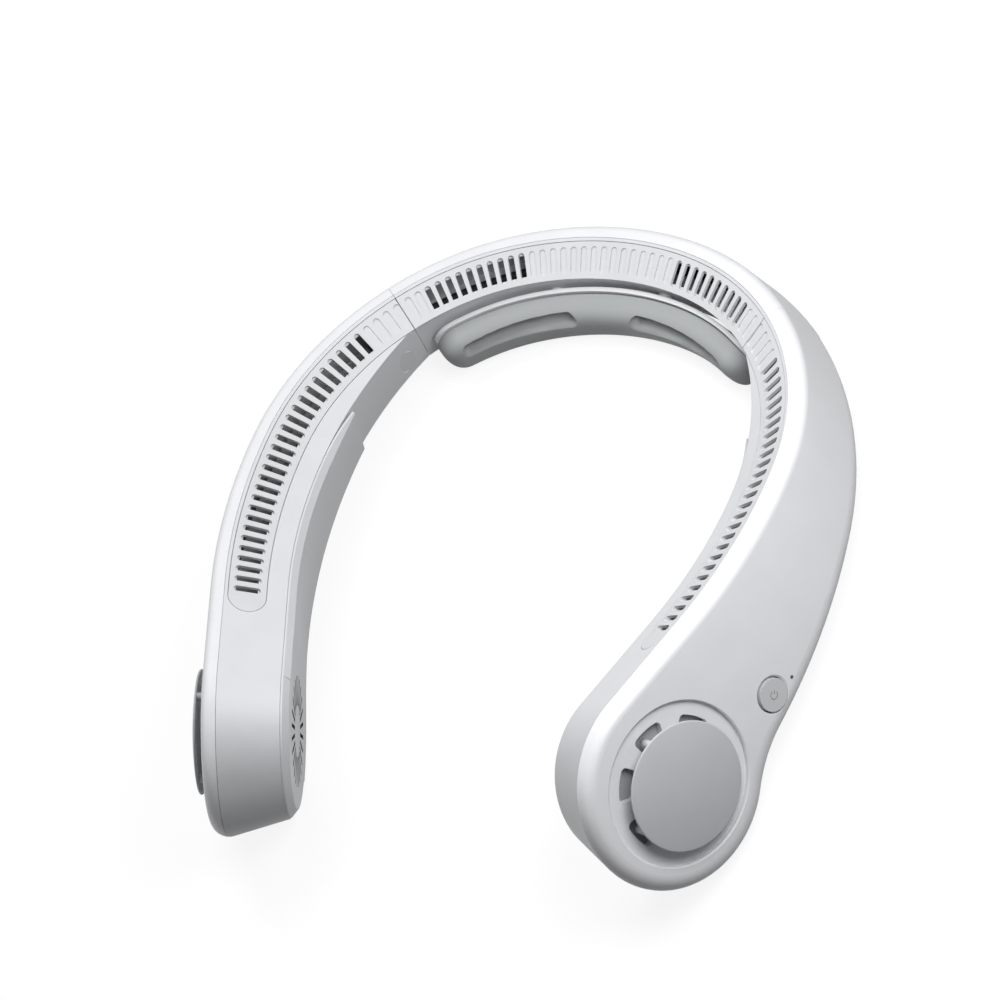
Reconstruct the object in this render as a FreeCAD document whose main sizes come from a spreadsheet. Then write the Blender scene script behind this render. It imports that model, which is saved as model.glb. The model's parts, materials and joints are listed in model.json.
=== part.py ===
import FreeCAD, Part
import math
import os

import Sketcher
from FreeCAD import Matrix, Placement, Rotation, Vector

# Bladeless neck fan: a horseshoe collar with a blower in each front lobe, seen with the open end at -Y.
# The collar is drawn flat in its own frame: the line through the outer slot ends lies at height 0,
# x runs to the wearer's left, y to the back of the neck and z up. At the end it is set down on its feet.

doc = FreeCAD.newDocument("NeckFan")
sheet = doc.addObject("Spreadsheet::Sheet", "Sizes")

DIMENSIONS = [
    # plan of the collar, along the line of the outer slot ends
    ("back_radius", 91.0), ("back_turn", 19.2), ("side_radius", 75.2), ("front_radius", 150.0),
    ("toe_in", 20.3), ("lobe_reach", 30.9), ("seam_turn", 47.0),
    # section of the collar
    ("rim_margin", 2.3), ("rim_slope", 33.0), ("wall_lean", 18.6), ("face_rise", 4.5), ("rim_round", 3.0),
    ("arm_round", 6.0), ("lobe_round", 5.5), ("band_round", 6.0), ("arm_depth", 17.6),
    ("band_depth", 11.3), ("wall", 1.8), ("lip_width", 5.4),
    # side outline
    ("lobe_radius", 29.6), ("nose_ease", 0.2), ("neck_fillet", 40.0), ("band_height", 20.0),
    ("bottom_pitch", 8.4), ("arm_drop", 44.3), ("case_gap", 0.1),
    # outlet strips
    ("strip_thickness", 1.0), ("strip_outer", 1.4), ("strip_inner", 8.1), ("strip_gap", 0.15),
    ("strip_reach", 10.5), ("slot_width", 1.9), ("slot_length", 7.8), ("blind_depth", 0.4),
    ("arm_slots", 27), ("arm_blinds", 4), ("band_slots", 10), ("band_blinds", 2), ("middle_blinds", 8),
    ("arm_slot_first", 2.5), ("arm_slot_pitch", 3.7), ("band_slot_pitch", 3.37), ("window_margin", 0.6),
    # intake dish and cap
    ("dish_radius", 22.8), ("dish_depth", 1.5), ("dish_edge", 0.4), ("dish_backing", 2.0),
    ("intake_outer", 18.8), ("intake_inner", 13.4), ("intake_slots", 7), ("intake_angle", 31.0),
    ("intake_corner", 1.4), ("intake_phase", 30.5), ("cap_radius", 18.0), ("cap_thickness", 2.2),
    ("cap_gap", 4.2), ("cap_edge", 0.8), ("post_radius", 1.2), ("post_circle", 16.6), ("post_count", 4),
    # blower
    ("inlet_radius", 17.5), ("impeller_radius", 20.0), ("impeller_height", 12.4), ("impeller_lift", 1.15),
    ("blade_count", 24), ("blade_root", 12.0), ("blade_tip", 18.8), ("blade_thickness", 0.8),
    ("blade_offset", 5.5), ("plate_thickness", 1.0), ("hub_radius", 10.6), ("hub_wall", 1.2),
    ("hub_height", 9.4), ("magnet_thickness", 1.6), ("air_gap", 0.4), ("magnet_length", 7.0),
    ("stator_length", 6.6), ("stator_poles", 6), ("stator_slot", 2.6), ("tube_radius", 3.0),
    ("shaft_radius", 1.0), ("running_fit", 0.03), ("seat_gap", 0.05), ("bearing_wall", 1.0),
    ("base_thickness", 1.4), ("base_ring", 3.4), ("spoke_width", 3.0), ("spoke_count", 3),
    ("tube_length", 8.0), ("scroll_radius", 21.2), ("scroll_wall", 1.2),
    # inner cover
    ("cover_rise", 2.4), ("cover_bevel", 1.8), ("cover_wall", 1.0), ("cover_tip", 74.0),
    ("cover_inset", 0.3), ("tip_rise", 0.9), ("vent_count", 24), ("vent_inner", 7.5),
    ("vent_outer", 16.0), ("vent_width", 1.2),
    # duct and arm contents
    ("duct_depth", 17.0), ("duct_wall", 1.4), ("duct_start", 60.0), ("duct_gap", 0.3),
    ("battery_length", 26.0), ("battery_width", 6.8), ("battery_thickness", 12.0), ("battery_turn", 87.2),
    ("battery_level", 13.0), ("battery_depth", 18.9), ("boss_radius", 2.6), ("screw_radius", 1.05),
    ("screw_head", 2.2), ("screw_head_height", 1.2), ("screw_length", 11.0), ("screw_clearance", 0.25),
    ("rear_boss_turn", 97.0), ("rear_boss_depth", 27.5), ("front_boss_reach", 4.0),
    ("front_boss_depth", 24.0),
    # controls on the right arm
    ("button_turn", 108.2), ("button_depth", 36.0), ("button_radius", 4.7), ("button_ring", 0.35),
    ("button_proud", 0.4), ("button_flange", 0.9), ("button_rim", 1.2), ("button_stem", 1.6),
    ("button_travel", 0.5), ("switch_height", 3.0), ("switch_size", 4.6), ("plunger_radius", 1.0),
    ("plunger_height", 0.45), ("board_level", 5.0), ("board_thickness", 1.2), ("board_front", 5.0),
    ("board_length", 20.0), ("board_below", 2.6), ("board_width", 13.0), ("board_post", 2.0),
    ("board_pin", 0.8), ("post_inset", 2.6), ("button_bezel", 0.55), ("lamp_turn", 105.6),
    ("lamp_depth", 37.4), ("lamp_radius", 0.5), ("lamp_gap", 0.06), ("usb_width", 9.0),
    ("usb_height", 3.2), ("usb_depth", 7.4), ("usb_wall", 0.4), ("usb_back", 9.6), ("usb_gap", 0.2),
    ("usb_low", 4.2),
    # neck pad
    ("pad_turn", 44.5), ("plate_gap", 1.5), ("pad_plate", 1.4), ("pad_top", 7.2), ("pad_height", 15.6),
    ("pad_thickness", 9.6), ("pad_thin", 0.8), ("pad_round", 6.0), ("pad_draw", 2.2), ("pad_margin", 1.0),
    ("pad_droop", 1.6), ("pad_pin_turn", 12.0), ("pad_pin_depth", 11.5), ("pad_pin_radius", 2.0),
    ("channel_start", 6.0), ("channel_end", 34.0), ("channel_width", 4.4), ("channel_depth", 2.4),
    ("channel_drop", 3.9),
    # seam, plug and wiring
    ("seam_gap", 0.08), ("tab_back", 42.0), ("tab_front", 56.5), ("tab_level", 9.1),
    ("tab_thickness", 1.6), ("tab_top", 11.0), ("tab_height", 8.0), ("plug_turn", 52.5),
    ("plug_depth", 15.4), ("plug_length", 10.0), ("plug_width", 5.4), ("plug_thickness", 0.8),
    ("plug_gap", 0.1), ("joint_head", 1.8), ("joint_head_height", 1.0), ("joint_length", 4.6),
    ("loom_radius", 1.4), ("loom_level", 1.7), ("loom_depth", 16.4), ("loom_turn", 57.0),
]
for row, (alias, size) in enumerate(DIMENSIONS, start=1):
    sheet.set(f"A{row}", alias)
    sheet.set(f"B{row}", str(size))
    sheet.setAlias(f"B{row}", alias)
doc.recompute()


def size(alias):
    return float(sheet.get(alias))


def count(alias):
    return int(round(size(alias)))


# Values worked out from the driving dimensions
lean = math.radians(size("wall_lean"))
slope = math.radians(size("rim_slope"))
toe = math.radians(size("toe_in"))
rim_tilt = slope - lean
crease_height = size("rim_margin") * math.tan(slope)
front_turn = 90.0 + size("toe_in")
deep = 3.0 * size("lobe_radius")
wide = 10.0 * size("lobe_radius")
face_inside = size("face_rise") - size("wall")
dish_floor = size("face_rise") - size("dish_depth")
dish_back = dish_floor - size("dish_backing")
frame_inside = -size("arm_depth") + size("wall")
lobe_height = crease_height - size("lobe_radius")


def arcs_of_the_plan():
    """Each arc of the plan line: centre x, centre y, radius and the turn where it starts and ends."""
    first = size("back_turn")
    bend = math.radians(first)
    back, side, front = size("back_radius"), size("side_radius"), size("front_radius")
    side_x = (back - side) * math.sin(bend)
    side_y = -back + (back - side) * math.cos(bend)
    return [
        (0.0, -back, back, 0.0, first),
        (side_x, side_y, side, first, 90.0),
        (side_x + side - front, side_y, front, 90.0, front_turn),
    ]


plan = arcs_of_the_plan()


def arc_at(turn):
    for arc in plan:
        if turn <= arc[4] + 1e-9:
            return arc
    return plan[-1]


def on_arc(arc, turn, outward, height):
    angle = math.radians(turn)
    reach = arc[2] + outward
    return Vector(arc[0] + reach * math.sin(angle), arc[1] + reach * math.cos(angle), height)


def across(level, depth):
    """Section place: level is out from the crease square to the wall, depth is down along the wall."""
    outward = size("rim_margin") + level * math.cos(lean) + depth * math.sin(lean)
    height = crease_height + level * math.sin(lean) - depth * math.cos(lean)
    return outward, height


forward = Vector(-math.sin(toe), -math.cos(toe), 0)
outward_front = Vector(math.cos(toe), -math.sin(toe), 0)
arm_corner = on_arc(plan[-1], front_turn, 0, 0)


def joined(shapes):
    whole = shapes[0] if len(shapes) == 1 else shapes[0].multiFuse(shapes[1:])
    whole = whole.removeSplitter()
    return whole.Solids[0] if len(whole.Solids) == 1 else whole


def run(section, start, end, straight=None):
    """Sweep a section of (outward, height) corners along the plan from one turn to another."""
    pieces = []
    for arc in plan:
        first, last = max(start, arc[3]), min(end, arc[4])
        if last - first < 1e-6:
            continue
        corners = [on_arc(arc, first, *corner) for corner in section]
        face = Part.Face(Part.makePolygon(corners + corners[:1]))
        pieces.append(face.revolve(Vector(arc[0], arc[1], 0), Vector(0, 0, -1), last - first))
    if straight:
        corners = [on_arc(plan[-1], front_turn, *corner) + forward * straight[0] for corner in section]
        face = Part.Face(Part.makePolygon(corners + corners[:1]))
        pieces.append(face.extrude(forward * (straight[1] - straight[0])))
    return joined(pieces)


def band_run(section, end):
    half = run(section, 0.0, end)
    return joined([half, half.mirror(Vector(), Vector(1, 0, 0))])


def section_of(*places):
    return [across(level, depth) for level, depth in places]


def wall_frame(turn, depth, along=0.0):
    """Frame on the leaning wall: x back along the arm, y up the wall, z square out of it, at level 0."""
    arc = arc_at(turn)
    angle = math.radians(turn)
    out = Vector(math.sin(angle), math.cos(angle), 0)
    back = Vector(-math.cos(angle), math.sin(angle), 0)
    normal = out * math.cos(lean) + Vector(0, 0, math.sin(lean))
    up = normal.cross(back)
    place = on_arc(arc, turn, *across(0.0, depth)) - back * along
    columns = [back, up, normal, place]
    rows = [getattr(column, axis) for axis in "xyz" for column in columns]
    return Placement(Matrix(*rows, 0, 0, 0, 1))


fan_depth = size("lobe_radius") / math.cos(lean)
fan = wall_frame(front_turn, fan_depth, size("lobe_reach"))


def cylinder(frame, radius, bottom, top, x=0.0, y=0.0):
    shape = Part.makeCylinder(radius, top - bottom, Vector(x, y, bottom))
    shape.Placement = frame
    return shape


def block(frame, x, y, z):
    shape = Part.makeBox(x[1] - x[0], y[1] - y[0], z[1] - z[0], Vector(x[0], y[0], z[0]))
    shape.Placement = frame
    return shape


def rim_depth(level, lowered=0.0):
    return -level * math.tan(rim_tilt) + lowered / math.cos(rim_tilt)


# Side outline of an arm, ruled level across the arm: lobe, neck fillet and rising lower edge
bottom_slope = math.radians(size("bottom_pitch"))


def bottom_at(y):
    return -size("band_height") + math.tan(bottom_slope) * y


seam_place = on_arc(arc_at(size("seam_turn")), size("seam_turn"), 0, 0)
seam_back = (arm_corner - seam_place).dot(forward)
edge_angle = math.atan((bottom_at(seam_place.y) + size("arm_drop")) / seam_back)


def arm_outline(inset, back_end):
    """Prism that keeps the arm inside its side outline, drawn in by inset."""
    radius = size("lobe_radius") - inset
    fillet = size("neck_fillet") + inset
    reach = size("lobe_reach")

    def place(along, height):
        return arm_corner + forward * along + Vector(0, 0, height) - outward_front * wide

    centre = (reach, lobe_height)
    backward = (-math.cos(edge_angle), math.sin(edge_angle))
    down = (-math.sin(edge_angle), -math.cos(edge_angle))
    foot = (-inset * down[0], -size("arm_drop") - inset * down[1])
    gap = (foot[0] + fillet * down[0] - centre[0], foot[1] + fillet * down[1] - centre[1])
    lead = gap[0] * backward[0] + gap[1] * backward[1]
    travel = -lead + math.sqrt(lead ** 2 - gap[0] ** 2 - gap[1] ** 2 + (radius + fillet) ** 2)
    hollow = (centre[0] + gap[0] + travel * backward[0], centre[1] + gap[1] + travel * backward[1])
    share = radius / (radius + fillet)
    meet = (centre[0] + share * (hollow[0] - centre[0]), centre[1] + share * (hollow[1] - centre[1]))
    leave = (hollow[0] - fillet * down[0], hollow[1] - fillet * down[1])
    middle = math.atan2((meet[1] + leave[1]) / 2 - hollow[1], (meet[0] + leave[0]) / 2 - hollow[0])
    bulge = (hollow[0] + fillet * math.cos(middle), hollow[1] + fillet * math.sin(middle))
    rise = (back_end - leave[0]) / backward[0]
    last = (back_end, leave[1] + rise * backward[1])
    turn = math.atan2(meet[1] - centre[1], meet[0] - centre[0])
    half = (math.pi / 2 + turn) / 2
    nose = (centre[0] + radius * math.cos(half), centre[1] + radius * math.sin(half))
    crown = (centre[0], centre[1] + radius)
    edges = [
        Part.LineSegment(place(back_end, deep), place(reach, deep)),
        Part.LineSegment(place(reach, deep), place(*crown)),
        Part.Arc(place(*crown), place(*nose), place(*meet)),
        Part.Arc(place(*meet), place(*bulge), place(*leave)),
        Part.LineSegment(place(*leave), place(*last)),
        Part.LineSegment(place(*last), place(back_end, deep)),
    ]
    wire = Part.Wire([edge.toShape() for edge in edges])
    return Part.Face(wire).extrude(outward_front * (2 * wide))


def nose_ring(level, inset):
    """Oval outline of the lobe at a level, in the fan's frame: it meets the rim and the lower edge."""
    top = rim_depth(level) + inset
    bottom = 2 * fan_depth + level * math.tan(lean) - inset + size("nose_ease")
    half = size("lobe_radius") + level * math.tan(rim_tilt) - inset
    centre = Vector(0, fan_depth - (top + bottom) / 2, level)
    crown = centre + Vector(0, (bottom - top) / 2, 0)
    return Part.Wire(Part.Ellipse(crown, centre + Vector(-half, 0, 0), centre).toShape())


def nose_waste(low, high):
    """What lies ahead of the lobe's centre and outside a nose drawn from one (level, inset) to another."""
    reach = size("lobe_radius")
    body = Part.makeLoft([nose_ring(*low), nose_ring(*high)], True, True)
    ahead = Part.makeBox(2 * reach, 4 * reach, high[0] - low[0], Vector(-2 * reach, -2 * reach, low[0]))
    waste = ahead.cut(body)
    waste.Placement = fan
    return waste


arm_back = -wide
arm_front = size("lobe_reach") + size("lobe_radius") + size("wall")


def arm_slab(section, inset, start=None, tapered=True):
    first = size("seam_turn") if start is None else start
    slab = run(section, first, front_turn, (0.0, arm_front)).common(arm_outline(inset, arm_back))
    return slab.cut(nose_waste((-size("lobe_radius"), inset), (size("face_rise"), inset))) if tapered else slab


def band_keep(inset):
    """Prism above the lower face of the collar, level across it."""
    corners = [
        Vector(-wide, wide, bottom_at(wide) + inset),
        Vector(-wide, -wide, bottom_at(-wide) + inset),
        Vector(-wide, -wide, wide),
        Vector(-wide, wide, wide),
    ]
    return Part.Face(Part.makePolygon(corners + corners[:1])).extrude(Vector(2 * wide, 0, 0))


def level_top(level, lowered=0.0):
    """Corner at the height of the crease, out on a level plane."""
    outward = size("rim_margin") + (level + lowered * math.sin(lean)) / math.cos(lean)
    return outward, crease_height - lowered


def plate_section(inner, outer, lowered=0.0):
    return [level_top(inner, lowered), level_top(outer, lowered), across(outer, deep), across(inner, deep)]


def frame_section(inner, outer, lowered=0.0):
    return section_of(
        (outer, rim_depth(outer, lowered)), (inner, rim_depth(inner, lowered)), (inner, deep), (outer, deep)
    )


def level_of(point):
    """How far out a point lies from the crease, square to the wall."""
    outward = None
    flat = Vector(point.x, point.y, 0)
    corner = Vector(arm_corner.x, arm_corner.y, 0)
    if (flat - corner).dot(forward) >= 0:
        outward = (flat - corner).dot(outward_front)
    else:
        for arc in plan:
            offset = flat - Vector(arc[0], arc[1], 0)
            turn = math.degrees(math.atan2(offset.x, offset.y))
            if arc[3] - 1e-6 <= turn <= arc[4] + 1e-6:
                outward = offset.Length - arc[2]
    if outward is None:
        return 1e9
    return (outward - size("rim_margin")) * math.cos(lean) + (point.z - crease_height) * math.sin(lean)


# The inner wall of an arm swells from the band's depth at the seam to its own depth at the widest place.
# Both walls lean alike, so in plan the swell is one arc, tangent to the arm where it is widest.
swell_height = -size("arm_depth") * math.sin(slope)


def inward_at(level, height):
    depth = (crease_height + level * math.sin(lean) - height) / math.cos(lean)
    return across(level, depth)[0]


def swell():
    side = plan[1]
    widest = side[0] + side[2] + inward_at(-size("arm_depth"), swell_height)
    start = on_arc(side, size("seam_turn"), inward_at(-size("band_depth"), swell_height), 0)
    reach = start.y - side[1]
    centre = (widest ** 2 - start.x ** 2 - reach ** 2) / (2 * (widest - start.x))
    return centre, side[1], widest - centre


def leaning_cone(x, y, radius, height, offset=0.0):
    """Solid whose side leans like the walls and stands off by offset, square to the wall."""
    middle = radius + offset / math.cos(lean)
    span = deep * math.tan(lean)
    return Part.makeCone(middle + span, middle - span, 2 * deep, Vector(x, y, height - deep))


def swell_cone(offset=0.0):
    x, y, radius = swell()
    return leaning_cone(x, y, radius, swell_height, offset)


def swell_level(turn, depth):
    """Level of the swelling inner wall at a turn and depth."""
    x, y, radius = swell()
    side = plan[1]
    angle = math.radians(turn)
    level = -size("arm_depth")
    for _ in range(20):
        height = across(level, depth)[1]
        here = radius + (swell_height - height) * math.tan(lean)
        apart = side[0] - x
        reach = -apart * math.sin(angle) + math.sqrt(here ** 2 - (apart * math.cos(angle)) ** 2)
        outward = reach - side[2] - size("rim_margin")
        level = outward * math.cos(lean) + (height - crease_height) * math.sin(lean)
    return level


def crown_cone(offset=0.0):
    """The cover's crown fades from its full rise at the lobe to a low tip, along one arc in plan."""
    height = swell_height
    full = -size("arm_depth") - size("cover_rise")
    low = -size("arm_depth") - size("tip_rise")
    front = on_arc(plan[-1], front_turn, inward_at(full, height), 0)
    tip = on_arc(arc_at(size("cover_tip")), size("cover_tip"), inward_at(low, height), 0)
    chord = tip - front
    radius = -chord.Length ** 2 / (2 * chord.dot(outward_front))
    centre = front - outward_front * abs(radius)
    return leaning_cone(centre.x, centre.y, abs(radius), height, offset)


# Frames along the outlet strips: x back along the path, y down the slope of the rim, z out of the rim
def path_place(length):
    """Turn and straight run reached at a length along the plan line from the back."""
    for arc in plan:
        span = math.radians(arc[4] - arc[3]) * arc[2]
        if length <= span:
            return arc[3] + math.degrees(length / arc[2]), 0.0
        length -= span
    return front_turn, length


path_to_straight = sum(math.radians(arc[4] - arc[3]) * arc[2] for arc in plan)
path_to_seam = sum(
    math.radians(min(arc[4], size("seam_turn")) - arc[3]) * arc[2] for arc in plan if arc[3] < size("seam_turn")
)


def rim_frame(length):
    turn, straight = path_place(length)
    angle = math.radians(turn)
    out = Vector(math.sin(angle), math.cos(angle), 0)
    back = Vector(-math.cos(angle), math.sin(angle), 0)
    normal = Vector(0, 0, math.cos(slope)) - out * math.sin(slope)
    down = normal.cross(back)
    place = on_arc(arc_at(turn), turn, 0, 0) - back * straight
    rows = [getattr(column, axis) for axis in "xyz" for column in (back, down, normal, place)]
    return Placement(Matrix(*rows, 0, 0, 0, 1))


def rim_point(outward, below):
    return outward + below * math.sin(slope), outward * math.tan(slope) - below * math.cos(slope)


def rim_strip(outer, inner, top, bottom):
    return [rim_point(outer, top), rim_point(outer, bottom), rim_point(-inner, bottom), rim_point(-inner, top)]


def slot(length, top, bottom, widen=0.0):
    """Round-ended slot across the strip, cut from top to bottom below the face of the rim."""
    half = size("slot_width") / 2 + widen
    long = size("slot_length")
    body = Part.makeBox(2 * half, long - 2 * half, top - bottom, Vector(-half, half, bottom))
    ends = [Part.makeCylinder(half, top - bottom, Vector(0, end, bottom)) for end in (half, long - half)]
    shape = body.multiFuse(ends).removeSplitter()
    shape.Placement = rim_frame(length)
    return shape


def strip_end_cut(reach, clear):
    """What lies beyond the rounded front end of an arm's strip."""
    middle = (size("strip_outer") - size("strip_inner")) / 2 / math.cos(slope)
    half = (size("strip_outer") + size("strip_inner")) / 2 / math.cos(slope) - clear
    shape = Part.makeBox(deep, 4 * half, deep, Vector(half - deep, -middle - 2 * half, -deep / 2))
    shape = shape.cut(Part.makeCylinder(half, deep, Vector(half, -middle, -deep / 2)))
    shape.Placement = rim_frame(path_to_straight + reach - clear)
    return shape


finished = []
mirrored = []


def publish(obj, label, pair=True):
    """Name a sub-part of the right side and, when it comes in pairs, its twin on the left."""
    obj.Label = label + "_right" if pair else label
    finished.append(obj)
    if pair:
        twin = doc.addObject("Part::Mirroring", label + "_left")
        twin.Source = obj
        twin.Normal = Vector(1, 0, 0)
        twin.Label = label + "_left"
        mirrored.append(twin)
    return obj


def feature(name, shape):
    obj = doc.addObject("Part::Feature", name)
    obj.Shape = shape
    return obj


def primitive(kind, name, frame, local=None, **bound):
    obj = doc.addObject("Part::" + kind, name)
    obj.Placement = frame.multiply(Placement(local or Vector(), Rotation()))
    for prop, expression in bound.items():
        obj.setExpression(prop, expression)
    return obj


def cut(name, base, tool):
    obj = doc.addObject("Part::Cut", name)
    obj.Base, obj.Tool = base, tool
    return obj


def fuse(name, shapes):
    obj = doc.addObject("Part::MultiFuse", name)
    obj.Shapes = shapes
    return obj


# Outer shells: a leaning plate with a rounded edge, hollow behind, with the intake dish in the lobe
def wall_edges(shape):
    """Edges round the outermost wall face, without the upright ones where the shape was sawn off."""
    picked = []
    for edge in shape.Edges:
        places = [Vector(abs(point.x), point.y, point.z) for point in edge.discretize(5)]
        on_face = all(abs(level_of(place) - size("face_rise")) < 0.05 for place in places)
        sawn = edge.Curve.TypeId == "Part::GeomLine" and abs(edge.tangentAt(edge.FirstParameter).z) > 0.5
        if on_face and not sawn:
            picked.append(edge)
    return picked


def on_rim(point):
    return point.z > crease_height - size("rim_round")


def arm_radius(point):
    """Fillet wanted at a corner of the arm: small at the rim, growing from the band to the lobe below."""
    ahead = (point - arm_corner).dot(forward)
    if on_rim(point):
        return size("rim_round")
    if ahead > size("lobe_reach") / 2:
        return size("lobe_round")
    return size("band_round") if ahead < -seam_back / 2 else size("arm_round")


def band_radius(point):
    return size("rim_round") if on_rim(point) else size("band_round")


def rounded(name, shape, radius_at):
    """The shape with each edge of its outer wall filleted by the radius wanted at either end."""
    square = feature(name + "_square", shape)
    picked = wall_edges(square.Shape)
    rounding = doc.addObject("Part::Fillet", name)
    rounding.Base = square
    rows = []
    for number, edge in enumerate(square.Shape.Edges, 1):
        if any(edge.isSame(other) for other in picked):
            ends = [edge.valueAt(end) for end in (edge.FirstParameter, edge.LastParameter)]
            rows.append((number, radius_at(ends[0]), radius_at(ends[1])))
    rounding.Edges = rows
    doc.recompute()
    return rounding.Shape.copy()


arm_form = rounded(
    "arm_form",
    arm_slab(plate_section(-size("arm_depth") - size("cover_rise"), size("face_rise")), 0.0, tapered=False),
    arm_radius,
)
shell_plate = arm_slab(plate_section(0.0, size("face_rise")), 0.0, tapered=False).common(arm_form)
pocket = arm_slab(
    plate_section(-1.0, face_inside, size("lip_width")), size("lip_width"), size("seam_turn") + 1.5,
    tapered=False,
)
arm_shell = shell_plate.cut(pocket)
dish_ring = cylinder(fan, size("dish_radius") + size("wall"), dish_back, face_inside)
arm_shell = arm_shell.fuse(dish_ring)
arm_shell = arm_shell.cut(cylinder(fan, size("dish_radius"), dish_floor, size("face_rise") + 1.0))


def flare(frame, radius, edge):
    """Cone that breaks the edge of a round hole in the wall face."""
    shape = Part.makeCone(radius, radius + 2 * edge, 2 * edge, Vector(0, 0, size("face_rise") - edge))
    shape.Placement = frame
    return shape


arm_shell = arm_shell.cut(flare(fan, size("dish_radius"), size("dish_edge")))


def ring_slot(inner, outer, angle, bottom, top):
    half = math.radians(angle) / 2
    corners = [
        Vector(inner * math.cos(half), -inner * math.sin(half), bottom),
        Vector(outer * math.cos(half), -outer * math.sin(half), bottom),
        Vector(outer, 0, bottom),
        Vector(outer * math.cos(half), outer * math.sin(half), bottom),
        Vector(inner * math.cos(half), inner * math.sin(half), bottom),
        Vector(inner, 0, bottom),
    ]
    edges = [
        Part.LineSegment(corners[0], corners[1]),
        Part.Arc(corners[1], corners[2], corners[3]),
        Part.LineSegment(corners[3], corners[4]),
        Part.Arc(corners[4], corners[5], corners[0]),
    ]
    face = Part.Face(Part.Wire([edge.toShape() for edge in edges]))
    return face.extrude(Vector(0, 0, top - bottom))


def upright_edges(shape):
    return [edge for edge in shape.Edges if abs(edge.tangentAt(edge.FirstParameter).z) > 0.99]


intakes = []
for number in range(count("intake_slots")):
    opening = ring_slot(
        size("intake_inner"), size("intake_outer"), size("intake_angle"), dish_back - 1, dish_floor + 1
    )
    opening = opening.makeFillet(size("intake_corner"), upright_edges(opening))
    opening.rotate(Vector(), Vector(0, 0, 1), size("intake_phase") + number * 360.0 / size("intake_slots"))
    opening.Placement = fan.multiply(opening.Placement)
    intakes.append(opening)
arm_shell = arm_shell.cut(intakes)

boss_frames = [
    wall_frame(front_turn, size("front_boss_depth"), size("front_boss_reach")),
    wall_frame(size("rear_boss_turn"), size("rear_boss_depth")),
]
boss_foot = frame_inside + size("case_gap")
for frame in boss_frames:
    arm_shell = arm_shell.fuse(cylinder(frame, size("boss_radius"), boss_foot, face_inside + size("wall") / 2))
screw_hole = size("screw_radius") + size("seat_gap")
for frame in boss_frames:
    arm_shell = arm_shell.cut(cylinder(frame, screw_hole, boss_foot - 1, boss_foot + size("screw_length")))
shell_plain = feature("shell_plain", arm_shell.removeSplitter())

# Arm frames: the rim with its outlet recess, the inner wall with the blower seat, and the lower edge
frame_body = arm_slab(frame_section(-size("arm_depth"), -size("case_gap")), 0.0).common(arm_form)
frame_body = frame_body.cut(swell_cone())
frame_hollow = arm_slab(
    frame_section(frame_inside, 1.0, size("wall")), size("wall"), size("seam_turn") - 2.0
).cut(swell_cone(size("wall")))
arm_frame = frame_body.cut(frame_hollow)

strip_top, strip_bottom = 0.0, size("strip_thickness")
recess = run(
    rim_strip(size("strip_outer"), size("strip_inner"), -1.0, strip_bottom),
    size("seam_turn") - 1.0, front_turn, (0.0, size("strip_reach") + 1.0),
).cut(strip_end_cut(size("strip_reach"), 0.0))
arm_frame = arm_frame.cut(recess)

first_slot = path_to_straight + size("arm_slot_first")
last_open = first_slot - (size("arm_slots") - 1) * size("arm_slot_pitch")
window_start = path_place(last_open - size("arm_slot_pitch") / 2)[0]
window_span = size("slot_length") * math.cos(slope)
window = run(
    rim_strip(-size("window_margin"), window_span - size("window_margin"), 0.0, 2 * size("wall")),
    window_start, front_turn, (0.0, size("arm_slot_first") + size("arm_slot_pitch") / 2),
)
arm_frame = arm_frame.cut(window)
arm_frame = arm_frame.cut(cylinder(fan, size("inlet_radius"), -size("arm_depth") - 1, frame_inside + 1))
for frame in boss_frames:
    through = size("screw_radius") + size("screw_clearance")
    arm_frame = arm_frame.cut(cylinder(frame, through, -size("arm_depth") - 1, frame_inside + 1))

# Seam joint: the band's tab lies behind the arm's inner wall, held by a screw under a pill-shaped plug
plug_level = swell_level(size("plug_turn"), size("plug_depth"))
plug_frame = wall_frame(size("plug_turn"), size("plug_depth"))
tab_inner = -size("tab_level")


def pill(frame, length, width, bottom, top):
    half = width / 2
    straight = length / 2 - half
    shape = Part.makeBox(width, 2 * straight, top - bottom, Vector(-half, -straight, bottom))
    ends = [Part.makeCylinder(half, top - bottom, Vector(0, end, bottom)) for end in (-straight, straight)]
    shape = shape.multiFuse(ends).removeSplitter()
    shape.Placement = frame
    return shape


plug_floor = plug_level + size("plug_thickness")
head_floor = plug_floor + size("joint_head_height")
joint_boss = cylinder(
    plug_frame, size("joint_head") + size("wall"), plug_level + size("wall") / 2, tab_inner - size("case_gap")
)
arm_frame = arm_frame.fuse(joint_boss)
pill_gap = size("plug_gap")
plug_recess = pill(
    plug_frame, size("plug_length") + 2 * pill_gap, size("plug_width") + 2 * pill_gap,
    plug_level - 2, plug_floor,
)
arm_frame = arm_frame.cut([
    plug_recess,
    cylinder(plug_frame, size("joint_head") + pill_gap, plug_level - 1, head_floor),
    cylinder(plug_frame, size("screw_radius") + size("screw_clearance"), plug_level - 1, 0.0),
])
frame_plain = feature("frame_plain", arm_frame.removeSplitter())

seam_plug = feature("seam_plug_solid", pill(
    plug_frame, size("plug_length"), size("plug_width"), plug_level, plug_floor
))

# Inner covers: a low bevelled tray over the blower's inner side, with a ring of vents
cover_levels = (-size("arm_depth") - size("cover_rise"), -size("arm_depth") - size("seat_gap"))


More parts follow.
